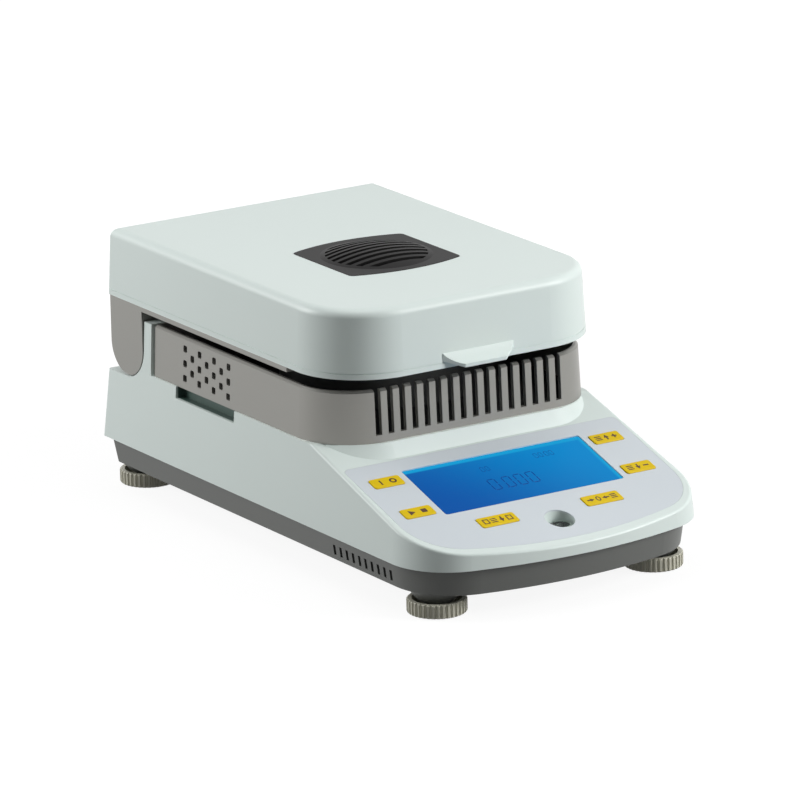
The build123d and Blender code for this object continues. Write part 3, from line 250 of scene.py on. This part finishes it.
# %% Material maker
def dress(name, group, values, depth_mm, **surface):
    """Principled material fed by a group, with a bump of the given depth and other sockets by name."""
    material = bpy.data.materials.new(name)
    material.use_nodes = True
    tree = material.node_tree
    shader = tree.nodes["Principled BSDF"]
    skin = add_node(tree, "ShaderNodeGroup", node_tree=group)
    for label, value in values.items():
        skin.inputs[label].default_value = value
    join(tree, skin.outputs["Color"], shader.inputs["Base Color"])
    join(tree, skin.outputs["Roughness"], shader.inputs["Roughness"])
    bump = add_node(tree, "ShaderNodeBump", inputs={"Strength": 1.0, "Distance": depth_mm * MM})
    join(tree, skin.outputs["Height"], bump.inputs["Height"])
    join(tree, bump.outputs["Normal"], shader.inputs["Normal"])
    for label, value in surface.items():
        shader.inputs[label.replace("_", " ")].default_value = value
    return material


def moulding(name, colour, roughness, grain_mm=0.4, depth_mm=0.01, mottle=0.03, **surface):
    """Material of a moulded piece."""
    values = {"Color": paint(*colour), "Roughness": roughness, "Grain mm": grain_mm, "Mottle": mottle}
    return dress(name, MOULDED, values, depth_mm, **surface)


STREAK_DEPTH_MM = 0.004


def sheet_metal(name, colour, roughness, streak_mm=0.3, stretch=30.0, contrast=0.15, metallic=1.0):
    """Material of a rolled, turned or painted piece of metal."""
    values = {"Color": paint(*colour), "Roughness": roughness, "Streak mm": streak_mm, "Stretch": stretch,
              "Contrast": contrast}
    return dress(name, BRUSHED, values, STREAK_DEPTH_MM, Metallic=metallic)


# A moulding's numbers are its colour, roughness, grain mm, depth mm and mottle. A sheet's are its
# colour, roughness, streak mm, stretch, contrast and how metallic it is.
finish = {
    "housing_pale": moulding("housing_pale", (220, 231, 227), 0.4, 0.35, 0.01, 0.03),
    "tray_dark": moulding("tray_dark", (97, 99, 96), 0.46, 0.5, 0.02, 0.05),
    "collar_grey": sheet_metal("collar_grey", (143, 142, 137), 0.33, 0.25, 40.0, 0.06, 0.45),
    "grille_black": moulding("grille_black", (16, 15, 15), 0.45, 0.4, 0.015, 0.06, Specular_IOR_Level=0.12),
    "overlay_film": moulding("overlay_film", (208, 215, 220), 0.42, 0.25, 0.004, 0.02),
    "module_black": moulding("module_black", (30, 30, 32), 0.5),
    "key_yellow": moulding("key_yellow", (223, 191, 12), 0.46, 0.3, 0.006, 0.04, Specular_IOR_Level=0.2),
    "level_cup": moulding("level_cup", (150, 166, 158), 0.3, 0.3, 0.004, 0.04),
    "shield_black": moulding("shield_black", (38, 38, 38), 0.6, 0.6, 0.02, 0.1, Specular_IOR_Level=0.2),
    "bright_aluminium": sheet_metal("bright_aluminium", (214, 214, 216), 0.26),
    "ring_dull": sheet_metal("ring_dull", (74, 76, 75), 0.5, 0.3, 12.0, 0.05),
    "bright_steel": sheet_metal("bright_steel", (196, 195, 192), 0.24),
    "zinc_screw": sheet_metal("zinc_screw", (176, 178, 182), 0.3, 0.4, 1.0),
    "insert_brass": sheet_metal("insert_brass", (214, 176, 96), 0.28, 0.3, 1.0),
    "board_green": moulding("board_green", (38, 110, 66), 0.35, 0.5, 0.004),
    "socket_black": moulding("socket_black", (34, 34, 35), 0.45, 0.5, 0.02, 0.06),
    "bush_white": moulding("bush_white", (236, 234, 226), 0.4),
    "ceramic_white": moulding("ceramic_white", (240, 234, 222), 0.7, 0.5, 0.02, 0.06),
    "pad_rubber": moulding("pad_rubber", (44, 44, 44), 0.8, 0.6, 0.03, 0.08),
    "knob_grey": moulding("knob_grey", (206, 204, 188), 0.42, 0.4, 0.012, 0.08),
    "key_mark": moulding("key_mark", (74, 46, 22), 0.55, 0.3, 0.003, 0.1),
}
print("finishes:", len(finish))


# %% [markdown]
# ## Glass
# Clear glass has no colour of its own: light goes through it and bends. The Principled shader does
# that with Transmission Weight at 1 and a low roughness. The level's liquid is the same with a
# yellow-green tint.


# %% Glass and liquid
def clear(name, colour, roughness, ior):
    """Material that light goes through."""
    material = bpy.data.materials.new(name)
    material.use_nodes = True
    shader = material.node_tree.nodes["Principled BSDF"]
    shader.inputs["Base Color"].default_value = paint(*colour)
    shader.inputs["Roughness"].default_value = roughness
    shader.inputs["IOR"].default_value = ior
    shader.inputs["Transmission Weight"].default_value = 1.0
    return material


finish["clear_glass"] = clear("clear_glass", (246, 250, 249), 0.03, 1.5)
finish["level_liquid"] = clear("level_liquid", (208, 226, 150), 0.02, 1.36)


# %% [markdown]
# ## The panel's own axes
# The display, the keys and their marks all lie on a slope. It is easiest to draw them flat, with x to
# the right and y up the slope, and to tip them into place with one matrix at the end. The slope
# starts at the shoulder in front of the chamber and falls towards the front.

# %% Panel axes
PANEL_TILT = radians(17)
PANEL_RUN = 141 * MM
SHOULDER = 82.2 * MM
housing_low, housing_high = (Vector(corner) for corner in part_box("upper_housing"))
panel_origin = Vector((0, housing_low.y + PANEL_RUN, SHOULDER))
PANEL = Matrix.Translation(panel_origin) @ Matrix.Rotation(PANEL_TILT, 4, "X")


def across_panel(node):
    """Middle and half size of a node seen square to the panel."""
    flat = [PANEL.inverted() @ corner.co for corner in nodes[node].data.vertices]
    low = Vector([min(point[axis] for point in flat) for axis in range(3)])
    high = Vector([max(point[axis] for point in flat) for axis in range(3)])
    return (low + high) / 2, (high - low) / 2


window_middle, window_half = across_panel("display_window")
print("display, mm:", [round(2 * value / MM, 1) for value in window_half[:2]])

# %% [markdown]
# ## Lit display
# A backlit display glows by itself, so its colour goes to Emission Color. The light comes from one
# side of the glass, which leaves the far corner deeper in tone. The rear and right walls of the window
# catch it as a bright rim, and that rim is a painted highlight in the glow; the two near edges are in
# the frame's shade, which is painted shade in the glow. A Mapping node turns Object coordinates into -1
# to 1 across the window, and every edge is a smooth step there.

# %% Display material
DISPLAY_DEEP = paint(16, 84, 166)
DISPLAY_BRIGHT = paint(4, 137, 205)
# Colour of the painted highlight along the rear and right edges
DISPLAY_RIM_HIGHLIGHT = paint(22, 160, 214)
# Colour of the painted shade along the left and front edges
DISPLAY_SHADE = paint(14, 38, 92)
DISPLAY_UNLIT = paint(6, 22, 40)
DISPLAY_GLOW = 0.95
# How much the change of tone leans towards the rear, and where along it the tone starts and ends
DISPLAY_SLANT = 0.35
DISPLAY_SWEEP = (-1.2, 1.2)
# Where the painted highlight and the painted shade rise, in -1 to 1 across the window
REAR_RIM_HIGHLIGHT = (0.84, 0.9)
RIGHT_RIM_HIGHLIGHT = (0.955, 0.975)
LEFT_SHADE = (-0.99, -0.978)
FRONT_SHADE = (-0.975, -0.945)


def smooth_step(tree, value, low, high):
    """Output that rises smoothly from 0 at low to 1 at high."""
    ramp = add_node(tree, "ShaderNodeMapRange", interpolation_type="SMOOTHSTEP")
    ramp.inputs["From Min"].default_value = low
    ramp.inputs["From Max"].default_value = high
    join(tree, value, ramp.inputs["Value"])
    return ramp.outputs["Result"]


def blend_colour(tree, factor, first, second):
    """Mix of two colours, each a socket or four numbers."""
    mix = add_node(tree, "ShaderNodeMix", data_type="RGBA")
    join(tree, factor, mix.inputs["Factor"])
    for label, colour in (("A", first), ("B", second)):
        socket = [entry for entry in mix.inputs if entry.name == label and entry.type == "RGBA"][0]
        if isinstance(colour, tuple):
            socket.default_value = colour
        else:
            join(tree, colour, socket)
    return [entry for entry in mix.outputs if entry.type == "RGBA"][0]


def lit_display():
    """Glowing material of the display window."""
    material = bpy.data.materials.new("display_blue")
    material.use_nodes = True
    tree = material.node_tree
    shader = tree.nodes["Principled BSDF"]
    place = add_node(tree, "ShaderNodeTexCoord")
    window = add_node(tree, "ShaderNodeMapping", vector_type="TEXTURE")
    window.inputs["Location"].default_value = PANEL @ window_middle
    window.inputs["Rotation"].default_value = (PANEL_TILT, 0, 0)
    window.inputs["Scale"].default_value = (window_half.x, window_half.y, 1)
    join(tree, place.outputs["Object"], window.inputs["Vector"])
    axes = add_node(tree, "ShaderNodeSeparateXYZ")
    join(tree, window.outputs["Vector"], axes.inputs[0])
    slant = add_node(tree, "ShaderNodeMath", operation="MULTIPLY_ADD", inputs={1: DISPLAY_SLANT})
    join(tree, axes.outputs["Y"], slant.inputs[0])
    join(tree, axes.outputs["X"], slant.inputs[2])
    sweep = smooth_step(tree, slant.outputs[0], *DISPLAY_SWEEP)
    field = blend_colour(tree, sweep, DISPLAY_DEEP, DISPLAY_BRIGHT)
    # Painted highlight along the rear and right edges of the glow
    rear = smooth_step(tree, axes.outputs["Y"], *REAR_RIM_HIGHLIGHT)
    right = smooth_step(tree, axes.outputs["X"], *RIGHT_RIM_HIGHLIGHT)
    rim_highlight = add_node(tree, "ShaderNodeMath", operation="MAXIMUM")
    join(tree, rear, rim_highlight.inputs[0])
    join(tree, right, rim_highlight.inputs[1])
    with_rim_highlight = blend_colour(tree, rim_highlight.outputs[0], field, DISPLAY_RIM_HIGHLIGHT)
    # Painted shade along the left and front edges of the glow
    left = smooth_step(tree, axes.outputs["X"], *LEFT_SHADE)
    front = smooth_step(tree, axes.outputs["Y"], *FRONT_SHADE)
    open_field = add_node(tree, "ShaderNodeMath", operation="MULTIPLY")
    join(tree, left, open_field.inputs[0])
    join(tree, front, open_field.inputs[1])
    glow = blend_colour(tree, open_field.outputs[0], DISPLAY_SHADE, with_rim_highlight)
    join(tree, glow, shader.inputs["Emission Color"])
    shader.inputs["Emission Strength"].default_value = DISPLAY_GLOW
    shader.inputs["Base Color"].default_value = DISPLAY_UNLIT
    shader.inputs["Roughness"].default_value = 0.35
    shader.inputs["Specular IOR Level"].default_value = 0.02
    return material


finish["display_blue"] = lit_display()
finish["display_digit"] = moulding(
    "display_digit", (6, 20, 38), 0.25, 0.3, 0.002, 0.02,
    Specular_IOR_Level=0.12, Emission_Color=paint(10, 66, 140), Emission_Strength=DISPLAY_GLOW,
)

# %% [markdown]
# ## Finishes on the CAD nodes
# The record names a material slot for each node, and the slots carry the names of the finishes above,
# so one loop dresses them all. The draft ring gets a finish of its own, because its slot is shared with
# bright pieces and it isn't bright on the real meter. The next step gives the housing a finish of its own
# too, with painted shade in the grips.


# %% Give every CAD node its finish
def assign(piece, material):
    """One material for the whole of a piece."""
    piece.data.materials.clear()
    piece.data.materials.append(material)


slot_of = {part["node"]: part["material_slot"] for part in frame["record"]["subparts"]}
for name, node in nodes.items():
    assign(node, finish[slot_of[name]])
# The draft ring is heated and cooled all day, so its aluminium has gone dull
assign(nodes["draft_ring"], finish["ring_dull"])
print("nodes dressed:", len(slot_of))


# %% [markdown]
# ## Hand grips
# Each side of the housing has a recess under the collar for the fingertips. Its walls shade each other,
# and that shade is painted into the housing's colour, so the recess reads much darker than the skin
# around it. The mask of the painted shade comes from the grip's own box in the frame: it rises with the
# depth below the skin, and ends just outside the recess's walls.

# %% Shade the grips
# Colour of the painted shade inside the recesses
GRIP_PAINTED_SHADE = paint(58, 80, 73)
# Depths below the grip's mouth where the painted shade starts and is full, and how far past the box it goes
GRIP_SKIN = 0.3 * MM
GRIP_DEEP = 1.8 * MM
GRIP_WALL = 1.5 * MM


def shade_grips(material):
    """Paints shade into a moulding in the two recesses, which lie the same on both sides of the meter."""
    grip = next(entry for entry in frame["record"]["physics"]["openings"] if entry["name"] == "grip_right")
    low, high = (Vector(corner) for corner in grip["box_m"])
    tree = material.node_tree
    base_colour = tree.nodes["Principled BSDF"].inputs["Base Color"]
    skin = base_colour.links[0].from_socket
    place = add_node(tree, "ShaderNodeTexCoord")
    axes = add_node(tree, "ShaderNodeSeparateXYZ")
    join(tree, place.outputs["Object"], axes.inputs[0])
    aside = add_node(tree, "ShaderNodeMath", operation="ABSOLUTE")
    join(tree, axes.outputs["X"], aside.inputs[0])
    mask = smooth_step(tree, aside.outputs[0], high.x - GRIP_SKIN, high.x - GRIP_DEEP)
    ends = [("Y", low.y, -1), ("Y", high.y, 1), ("Z", low.z, -1)]
    for axis, end, outwards in ends:
        wall = end + outwards * GRIP_WALL
        inside = smooth_step(tree, axes.outputs[axis], wall + outwards * GRIP_WALL, wall)
        both = add_node(tree, "ShaderNodeMath", operation="MULTIPLY")
        join(tree, mask, both.inputs[0])
        join(tree, inside, both.inputs[1])
        mask = both.outputs[0]
    # The painted shade replaces the skin's colour where the mask is full
    join(tree, blend_colour(tree, mask, skin, GRIP_PAINTED_SHADE), base_colour)


# The housing gets its own copy of the moulding, with the painted shade in the grips
housing_with_grip_shade = finish["housing_pale"].copy()
housing_with_grip_shade.name = "housing_painted_grip_shade"
shade_grips(housing_with_grip_shade)
assign(nodes["upper_housing"], housing_with_grip_shade)
print("upper housing:", housing_with_grip_shade.name)

# %% [markdown]
# ## Flat marks
# Printed marks are a few hundredths of a millimetre of ink. Each one here is drawn flat with bars,
# rings and triangles, given that thickness, and moved to its place on the panel. A bar is a grid of one
# cell, a triangle is a circle with three corners, and a ring is a disc with its middle removed.

# %% Mark helpers
INK = 0.04 * MM


def add_bar(shape, x, y, width, height):
    """Flat bar about a middle point."""
    place = Matrix.Translation((x, y, 0)) @ Matrix.Diagonal((width / 2, height / 2, 1, 1))
    bmesh.ops.create_grid(shape, x_segments=1, y_segments=1, size=1, matrix=place)


def add_ring(shape, x, y, radius, width, tall=1.0, segments=32):
    """Flat ring, stretched upwards by tall."""
    place = Matrix.Translation((x, y, 0)) @ Matrix.Diagonal((1, tall, 1, 1))
    made = bmesh.ops.create_circle(shape, cap_ends=True, segments=segments, radius=radius, matrix=place)
    disc = list({face for vertex in made["verts"] for face in vertex.link_faces})
    bmesh.ops.inset_region(shape, faces=disc, thickness=width, use_boundary=True, use_even_offset=True)
    bmesh.ops.delete(shape, geom=disc, context="FACES")


def add_triangle(shape, x, y, radius, turn):
    """Flat triangle with one corner towards the angle turn."""
    place = Matrix.Translation((x, y, 0)) @ Matrix.Rotation(turn - pi / 2, 4, "Z")
    bmesh.ops.create_circle(shape, cap_ends=True, segments=3, radius=radius, matrix=place)


def print_mark(name, shape, place, body, material):
    """Gives a flat shape its ink, moves it to its place and lets it ride on a body."""
    flat = list(shape.faces)
    raised = bmesh.ops.extrude_face_region(shape, geom=flat, use_keep_orig=True)
    lifted = [entry for entry in raised["geom"] if isinstance(entry, bmesh.types.BMVert)]
    bmesh.ops.translate(shape, verts=lifted, vec=(0, 0, INK))
    bmesh.ops.transform(shape, matrix=place, verts=shape.verts)
    bmesh.ops.recalc_face_normals(shape, faces=shape.faces)
    mesh = bpy.data.meshes.new(name)
    shape.to_mesh(mesh)
    shape.free()
    piece = bpy.data.objects.new(name, mesh)
    bpy.context.scene.collection.objects.link(piece)
    assign(piece, material)
    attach(piece, body)
    print(name, "faces:", len(mesh.polygons))


# %% [markdown]
# ## Key marks
# Each yellow key carries dark marks that say what it does. Plain symbols stand here: a bar and a ring
# for on and off, a triangle and a square for start and stop, arrows for up and down, and a sheet and
# lines for printing. Every symbol is drawn in a cell one unit high, so one size serves them all.


# %% Draw the key marks
STROKE = 0.24
SHEET_SIDES = [("bar", x, 0, 0.16, 1) for x in (-0.34, 0.34)]
SHEET_ENDS = [("bar", 0, y, 0.52, 0.15) for y in (-0.42, 0.42)]
SYMBOLS = {
    "on": [("bar", 0, 0, STROKE, 1)],
    "off": [("ring", 0, 0, 0.5, STROKE)],
    "start": [("triangle", -0.08, 0, 0.6, 0)],
    "stop": [("bar", 0, 0, 0.78, 0.78)],
    "up": [("triangle", 0, 0.14, 0.42, pi / 2), ("bar", 0, -0.3, STROKE, 0.5)],
    "down": [("triangle", 0, -0.14, 0.42, -pi / 2), ("bar", 0, 0.3, STROKE, 0.5)],
    "right": [("triangle", 0.16, 0, 0.38, 0), ("bar", -0.24, 0, 0.5, STROKE)],
    "left": [("triangle", -0.16, 0, 0.38, pi), ("bar", 0.24, 0, 0.5, STROKE)],
    "plus": [("bar", 0, 0, 0.8, STROKE), ("bar", 0, 0.26, STROKE, 0.32), ("bar", 0, -0.26, STROKE, 0.32)],
    "minus": [("bar", 0, 0, 0.8, STROKE)],
    "lines": [("bar", 0, y, 0.86, 0.18) for y in (-0.36, 0, 0.36)],
    "sheet": SHEET_SIDES + SHEET_ENDS,
    "zero": [("ring", 0, 0, 0.34, 0.16, 1.45)],
}
KEY_MARKS = {
    "key_on_off": (("on", "off"), 8.4),
    "key_test": (("start", "stop"), 8.4),
    "key_print": (("sheet", "lines", "down", "sheet"), 5.4),
    "key_tare": (("right", "zero", "left", "lines"), 5.4),
    "key_up": (("lines", "up", "plus"), 5.6),
    "key_down": (("lines", "down", "minus"), 5.6),
}
MARK_HEIGHT = 4.8 * MM


def add_symbol(shape, name, x):
    """One symbol, drawn about a place along the key."""
    for kind, across, up, *size in SYMBOLS[name]:
        draw = {"bar": add_bar, "ring": add_ring, "triangle": add_triangle}[kind]
        draw(shape, x + across, up, *size)


for key, (symbols, pitch) in KEY_MARKS.items():
    middle, half = across_panel(key)
    drawing = bmesh.new()
    for step, symbol in enumerate(symbols):
        add_symbol(drawing, symbol, (step - (len(symbols) - 1) / 2) * pitch * MM / MARK_HEIGHT)
    bmesh.ops.scale(drawing, vec=(MARK_HEIGHT, MARK_HEIGHT, 1), verts=drawing.verts)
    top = Matrix.Translation((middle.x, middle.y, middle.z + half.z))
    print_mark(f"{key}_marks", drawing, PANEL @ top, f"{key}_cap", finish["key_mark"])
print("keys marked:", len(KEY_MARKS))

# %% [markdown]
# ## Digits on the display
# Liquid crystal digits are seven bars each, only a little darker than the glow behind them. The digits
# here are plain numbers, with a time in small ones at the top right.


# %% Draw the digits
BAR = 0.13
FLAT_BAR = (0.72, BAR)
TALL_BAR = (BAR, 0.8)
BAR_ASIDE = 0.45
DIGIT_BARS = {
    "top": (0, 1, *FLAT_BAR), "middle": (0, 0, *FLAT_BAR), "bottom": (0, -1, *FLAT_BAR),
    "upper_left": (-BAR_ASIDE, 0.5, *TALL_BAR), "upper_right": (BAR_ASIDE, 0.5, *TALL_BAR),
    "lower_left": (-BAR_ASIDE, -0.5, *TALL_BAR), "lower_right": (BAR_ASIDE, -0.5, *TALL_BAR),
}
DIGIT_HALF = 5.6 * MM
SMALL_HALF = 2.3 * MM
DIGIT_PITCH = 1.5
DOT_SIZE = 0.16
DOT_STEP = 0.3
DOT_HEIGHTS = {".": (-0.95,), ":": (-0.4, 0.4)}


def add_number(shape, text, x, y, half):
    """Row of digits from a left end, each half high above and below its middle, with dots and colons."""
    for mark in text:
        if mark.isdigit():
            bars = [name for name in DIGIT_BARS if mark != "0" or name != "middle"]
            for across, up, width, height in (DIGIT_BARS[name] for name in bars):
                add_bar(shape, x + across * half, y + up * half, width * half, height * half)
            x += DIGIT_PITCH * half
        else:
            for up in DOT_HEIGHTS[mark]:
                add_bar(shape, x - DOT_STEP * half, y + up * half, DOT_SIZE * half, DOT_SIZE * half)
            x += DOT_STEP * half


# The digits, their left end and middle on the window in mm, and half of their height
READINGS = [
    ("0.000", -16, -5, DIGIT_HALF),
    ("00:00", 26, 15, SMALL_HALF),
    ("00", -14, 12, SMALL_HALF),
]
drawing = bmesh.new()
for digits, x_mm, y_mm, half in READINGS:
    add_number(drawing, digits, x_mm * MM, y_mm * MM, half)
glass_face = Matrix.Translation((window_middle.x, window_middle.y, window_middle.z + window_half.z))
print_mark("display_digits", drawing, PANEL @ glass_face, "base", finish["display_digit"])

# %% [markdown]
# ## Level ring
# The round level is read against a circle: the meter is upright when the bubble is in the middle of
# it. The circle is printed on the level's little window.

# %% Print the level ring
RING_RADIUS = 3.3 * MM
RING_WIDTH = 0.35 * MM
glass_low, glass_high = (Vector(corner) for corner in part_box("level_glass"))
drawing = bmesh.new()
add_ring(drawing, 0, 0, RING_RADIUS, RING_WIDTH, segments=48)
glass_middle = (glass_low + glass_high) / 2
glass_top = Matrix.Translation((glass_middle.x, glass_middle.y, glass_high.z))
print_mark("level_ring", drawing, glass_top, "base", finish["module_black"])

# %% [markdown]
# ## Lamp filament
# The ring lamp is a clear tube, and what glows in it is a thin coil of wire. At this size the coil
# reads as a fine cord, so a small circle spun round the lamp's axis is enough. The spin stops where
# the tube's two ends turn up.

# %% Spin the filament
FILAMENT_RADIUS = 0.8 * MM
LAMP_RING = 34 * MM
LAMP_GAP = radians(30)
THREAD_RISE = 4.5 * MM
THREAD_SIDES = 10
SPIN_STEPS = 90
lamp_low, lamp_high = (Vector(corner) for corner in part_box("halogen_lamp"))
lamp_half = (lamp_high.x - lamp_low.x) / 2
lamp_middle = Vector((lamp_low.x + lamp_half, lamp_low.y + lamp_half, lamp_low.z + THREAD_RISE))
thread = bmesh.new()
start_angle = pi / 2 + LAMP_GAP / 2
upright = Matrix.Translation((LAMP_RING, 0, 0)) @ Matrix.Rotation(pi / 2, 4, "X")
first = Matrix.Rotation(start_angle, 4, "Z") @ upright
bmesh.ops.create_circle(thread, cap_ends=False, segments=THREAD_SIDES, radius=FILAMENT_RADIUS, matrix=first)
bmesh.ops.spin(thread, geom=thread.verts[:] + thread.edges[:], cent=(0, 0, 0), axis=(0, 0, 1),
               angle=2 * pi - LAMP_GAP, steps=SPIN_STEPS, use_merge=False)
bmesh.ops.holes_fill(thread, edges=[edge for edge in thread.edges if edge.is_boundary], sides=THREAD_SIDES)
bmesh.ops.recalc_face_normals(thread, faces=thread.faces)
bmesh.ops.translate(thread, verts=thread.verts, vec=lamp_middle)
mesh = bpy.data.meshes.new("lamp_filament")
thread.to_mesh(mesh)
thread.free()
filament = bpy.data.objects.new("lamp_filament", mesh)
bpy.context.scene.collection.objects.link(filament)
assign(filament, finish["bright_steel"])
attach(filament, "lid")
print("filament ring, mm:", round(2 * LAMP_RING / MM, 1))

# %% [markdown]
# ## Stage and light
# The meter stands on a white sweep. Its light is soft and comes from three sides: a wide panel above,
# one behind its left flank and one before its right. The gap between the last two faces the camera's
# side of the lid, so its round corner turns darker between two bright walls, as in a studio.
# The floor sends little light back up, which keeps that corner dark, and only the camera and mirrors
# see it white.

# %% Stage and light
WORLD_TONE = (246, 250, 255)
WORLD_LEVEL = 0.05
FLOOR_TONE = (100, 100, 100)
FLOOR_GLOW = 0.9
FLOOR_SIZE = 30.0
# Metres from the meter's middle between which the floor's glow rises to full white
SHADE_ENDS = (0.3, 0.8)


def any_of(tree, sockets):
    """Largest of several sockets between 0 and 1."""
    largest = sockets[0]
    for socket in sockets[1:]:
        step = add_node(tree, "ShaderNodeMath", operation="MAXIMUM")
        join(tree, largest, step.inputs[0])
        join(tree, socket, step.inputs[1])
        largest = step.outputs[0]
    return largest


def seen_directly(tree):
    """Output that is 1 for rays from the camera, or from it by way of a mirror or glass."""
    rays = add_node(tree, "ShaderNodeLightPath")
    return any_of(tree, [rays.outputs[f"Is {kind} Ray"] for kind in ("Camera", "Glossy", "Transmission")])


def white_for_camera(tree, plain):
    """Shader that shows plain white to the camera, glass and mirrors, and the plain one elsewhere."""
    white = add_node(tree, "ShaderNodeBackground", inputs={"Strength": 1.0, "Color": (1, 1, 1, 1)})
    mix = add_node(tree, "ShaderNodeMixShader")
    join(tree, seen_directly(tree), mix.inputs["Fac"])
    join(tree, plain, mix.inputs[1])
    join(tree, white.outputs[0], mix.inputs[2])
    return mix.outputs[0]


def make_world():
    world = bpy.data.worlds.new("studio")
    world.use_nodes = True
    tree = world.node_tree
    plain = tree.nodes["Background"]
    plain.inputs["Color"].default_value = paint(*WORLD_TONE)
    plain.inputs["Strength"].default_value = WORLD_LEVEL
    join(tree, white_for_camera(tree, plain.outputs[0]), tree.nodes["World Output"].inputs["Surface"])
    bpy.context.scene.world = world


def make_floor():
    """Floor that glows for the camera and in mirrors, so that it is white there and its shade is faint."""
    shape = bmesh.new()
    bmesh.ops.create_grid(shape, x_segments=1, y_segments=1, size=FLOOR_SIZE / 2)
    mesh = bpy.data.meshes.new("floor")
    shape.to_mesh(mesh)
    shape.free()
    floor = bpy.data.objects.new("floor", mesh)
    bpy.context.scene.collection.objects.link(floor)
    material = bpy.data.materials.new("floor_white")
    material.use_nodes = True
    tree = material.node_tree
    shader = tree.nodes["Principled BSDF"]
    shader.inputs["Base Color"].default_value = paint(*FLOOR_TONE)
    shader.inputs["Roughness"].default_value = 0.9
    shader.inputs["Specular IOR Level"].default_value = 0.1
    glow = add_node(tree, "ShaderNodeEmission")
    # Away from the meter the glow rises to full white
    place = add_node(tree, "ShaderNodeTexCoord")
    distance = add_node(tree, "ShaderNodeVectorMath", operation="LENGTH")
    join(tree, place.outputs["Object"], distance.inputs[0])
    shares = {1: 1 - FLOOR_GLOW, 2: FLOOR_GLOW}
    rise = add_node(tree, "ShaderNodeMath", operation="MULTIPLY_ADD", inputs=shares)
    join(tree, smooth_step(tree, distance.outputs["Value"], *SHADE_ENDS), rise.inputs[0])
    strength = add_node(tree, "ShaderNodeMath", operation="MULTIPLY")
    join(tree, rise.outputs[0], strength.inputs[1])
    join(tree, seen_directly(tree), strength.inputs[0])
    join(tree, strength.outputs[0], glow.inputs["Strength"])
    both = add_node(tree, "ShaderNodeAddShader")
    join(tree, shader.outputs[0], both.inputs[0])
    join(tree, glow.outputs[0], both.inputs[1])
    join(tree, both.outputs[0], tree.nodes["Material Output"].inputs["Surface"])
    assign(floor, material)


def softbox(name, azimuth, elevation, distance, size, power):
    """Area light on a sphere round the meter, facing its middle. Azimuth 0 is in front of it."""
    data = bpy.data.lights.new(name, "AREA")
    data.shape = "SQUARE"
    data.size = size
    data.energy = power
    lamp = bpy.data.objects.new(name, data)
    a, e = radians(azimuth), radians(elevation)
    back = Vector((sin(a) * cos(e), -cos(a) * cos(e), sin(e)))
    lamp.location = back * distance + Vector((0, 0, AIM_HEIGHT))
    lamp.rotation_euler = (-back).to_track_quat("-Z", "Y").to_euler()
    bpy.context.scene.collection.objects.link(lamp)


make_world()
make_floor()
softbox("top_panel", azimuth=-60, elevation=84, distance=1.6, size=1.4, power=11.3)
softbox("left_panel", azimuth=-127, elevation=20, distance=1.8, size=0.8, power=19)
softbox("right_panel", azimuth=44, elevation=22, distance=1.8, size=0.8, power=27)
bpy.context.scene.view_settings.view_transform = "Standard"
print("lamps:", len(bpy.data.lights))
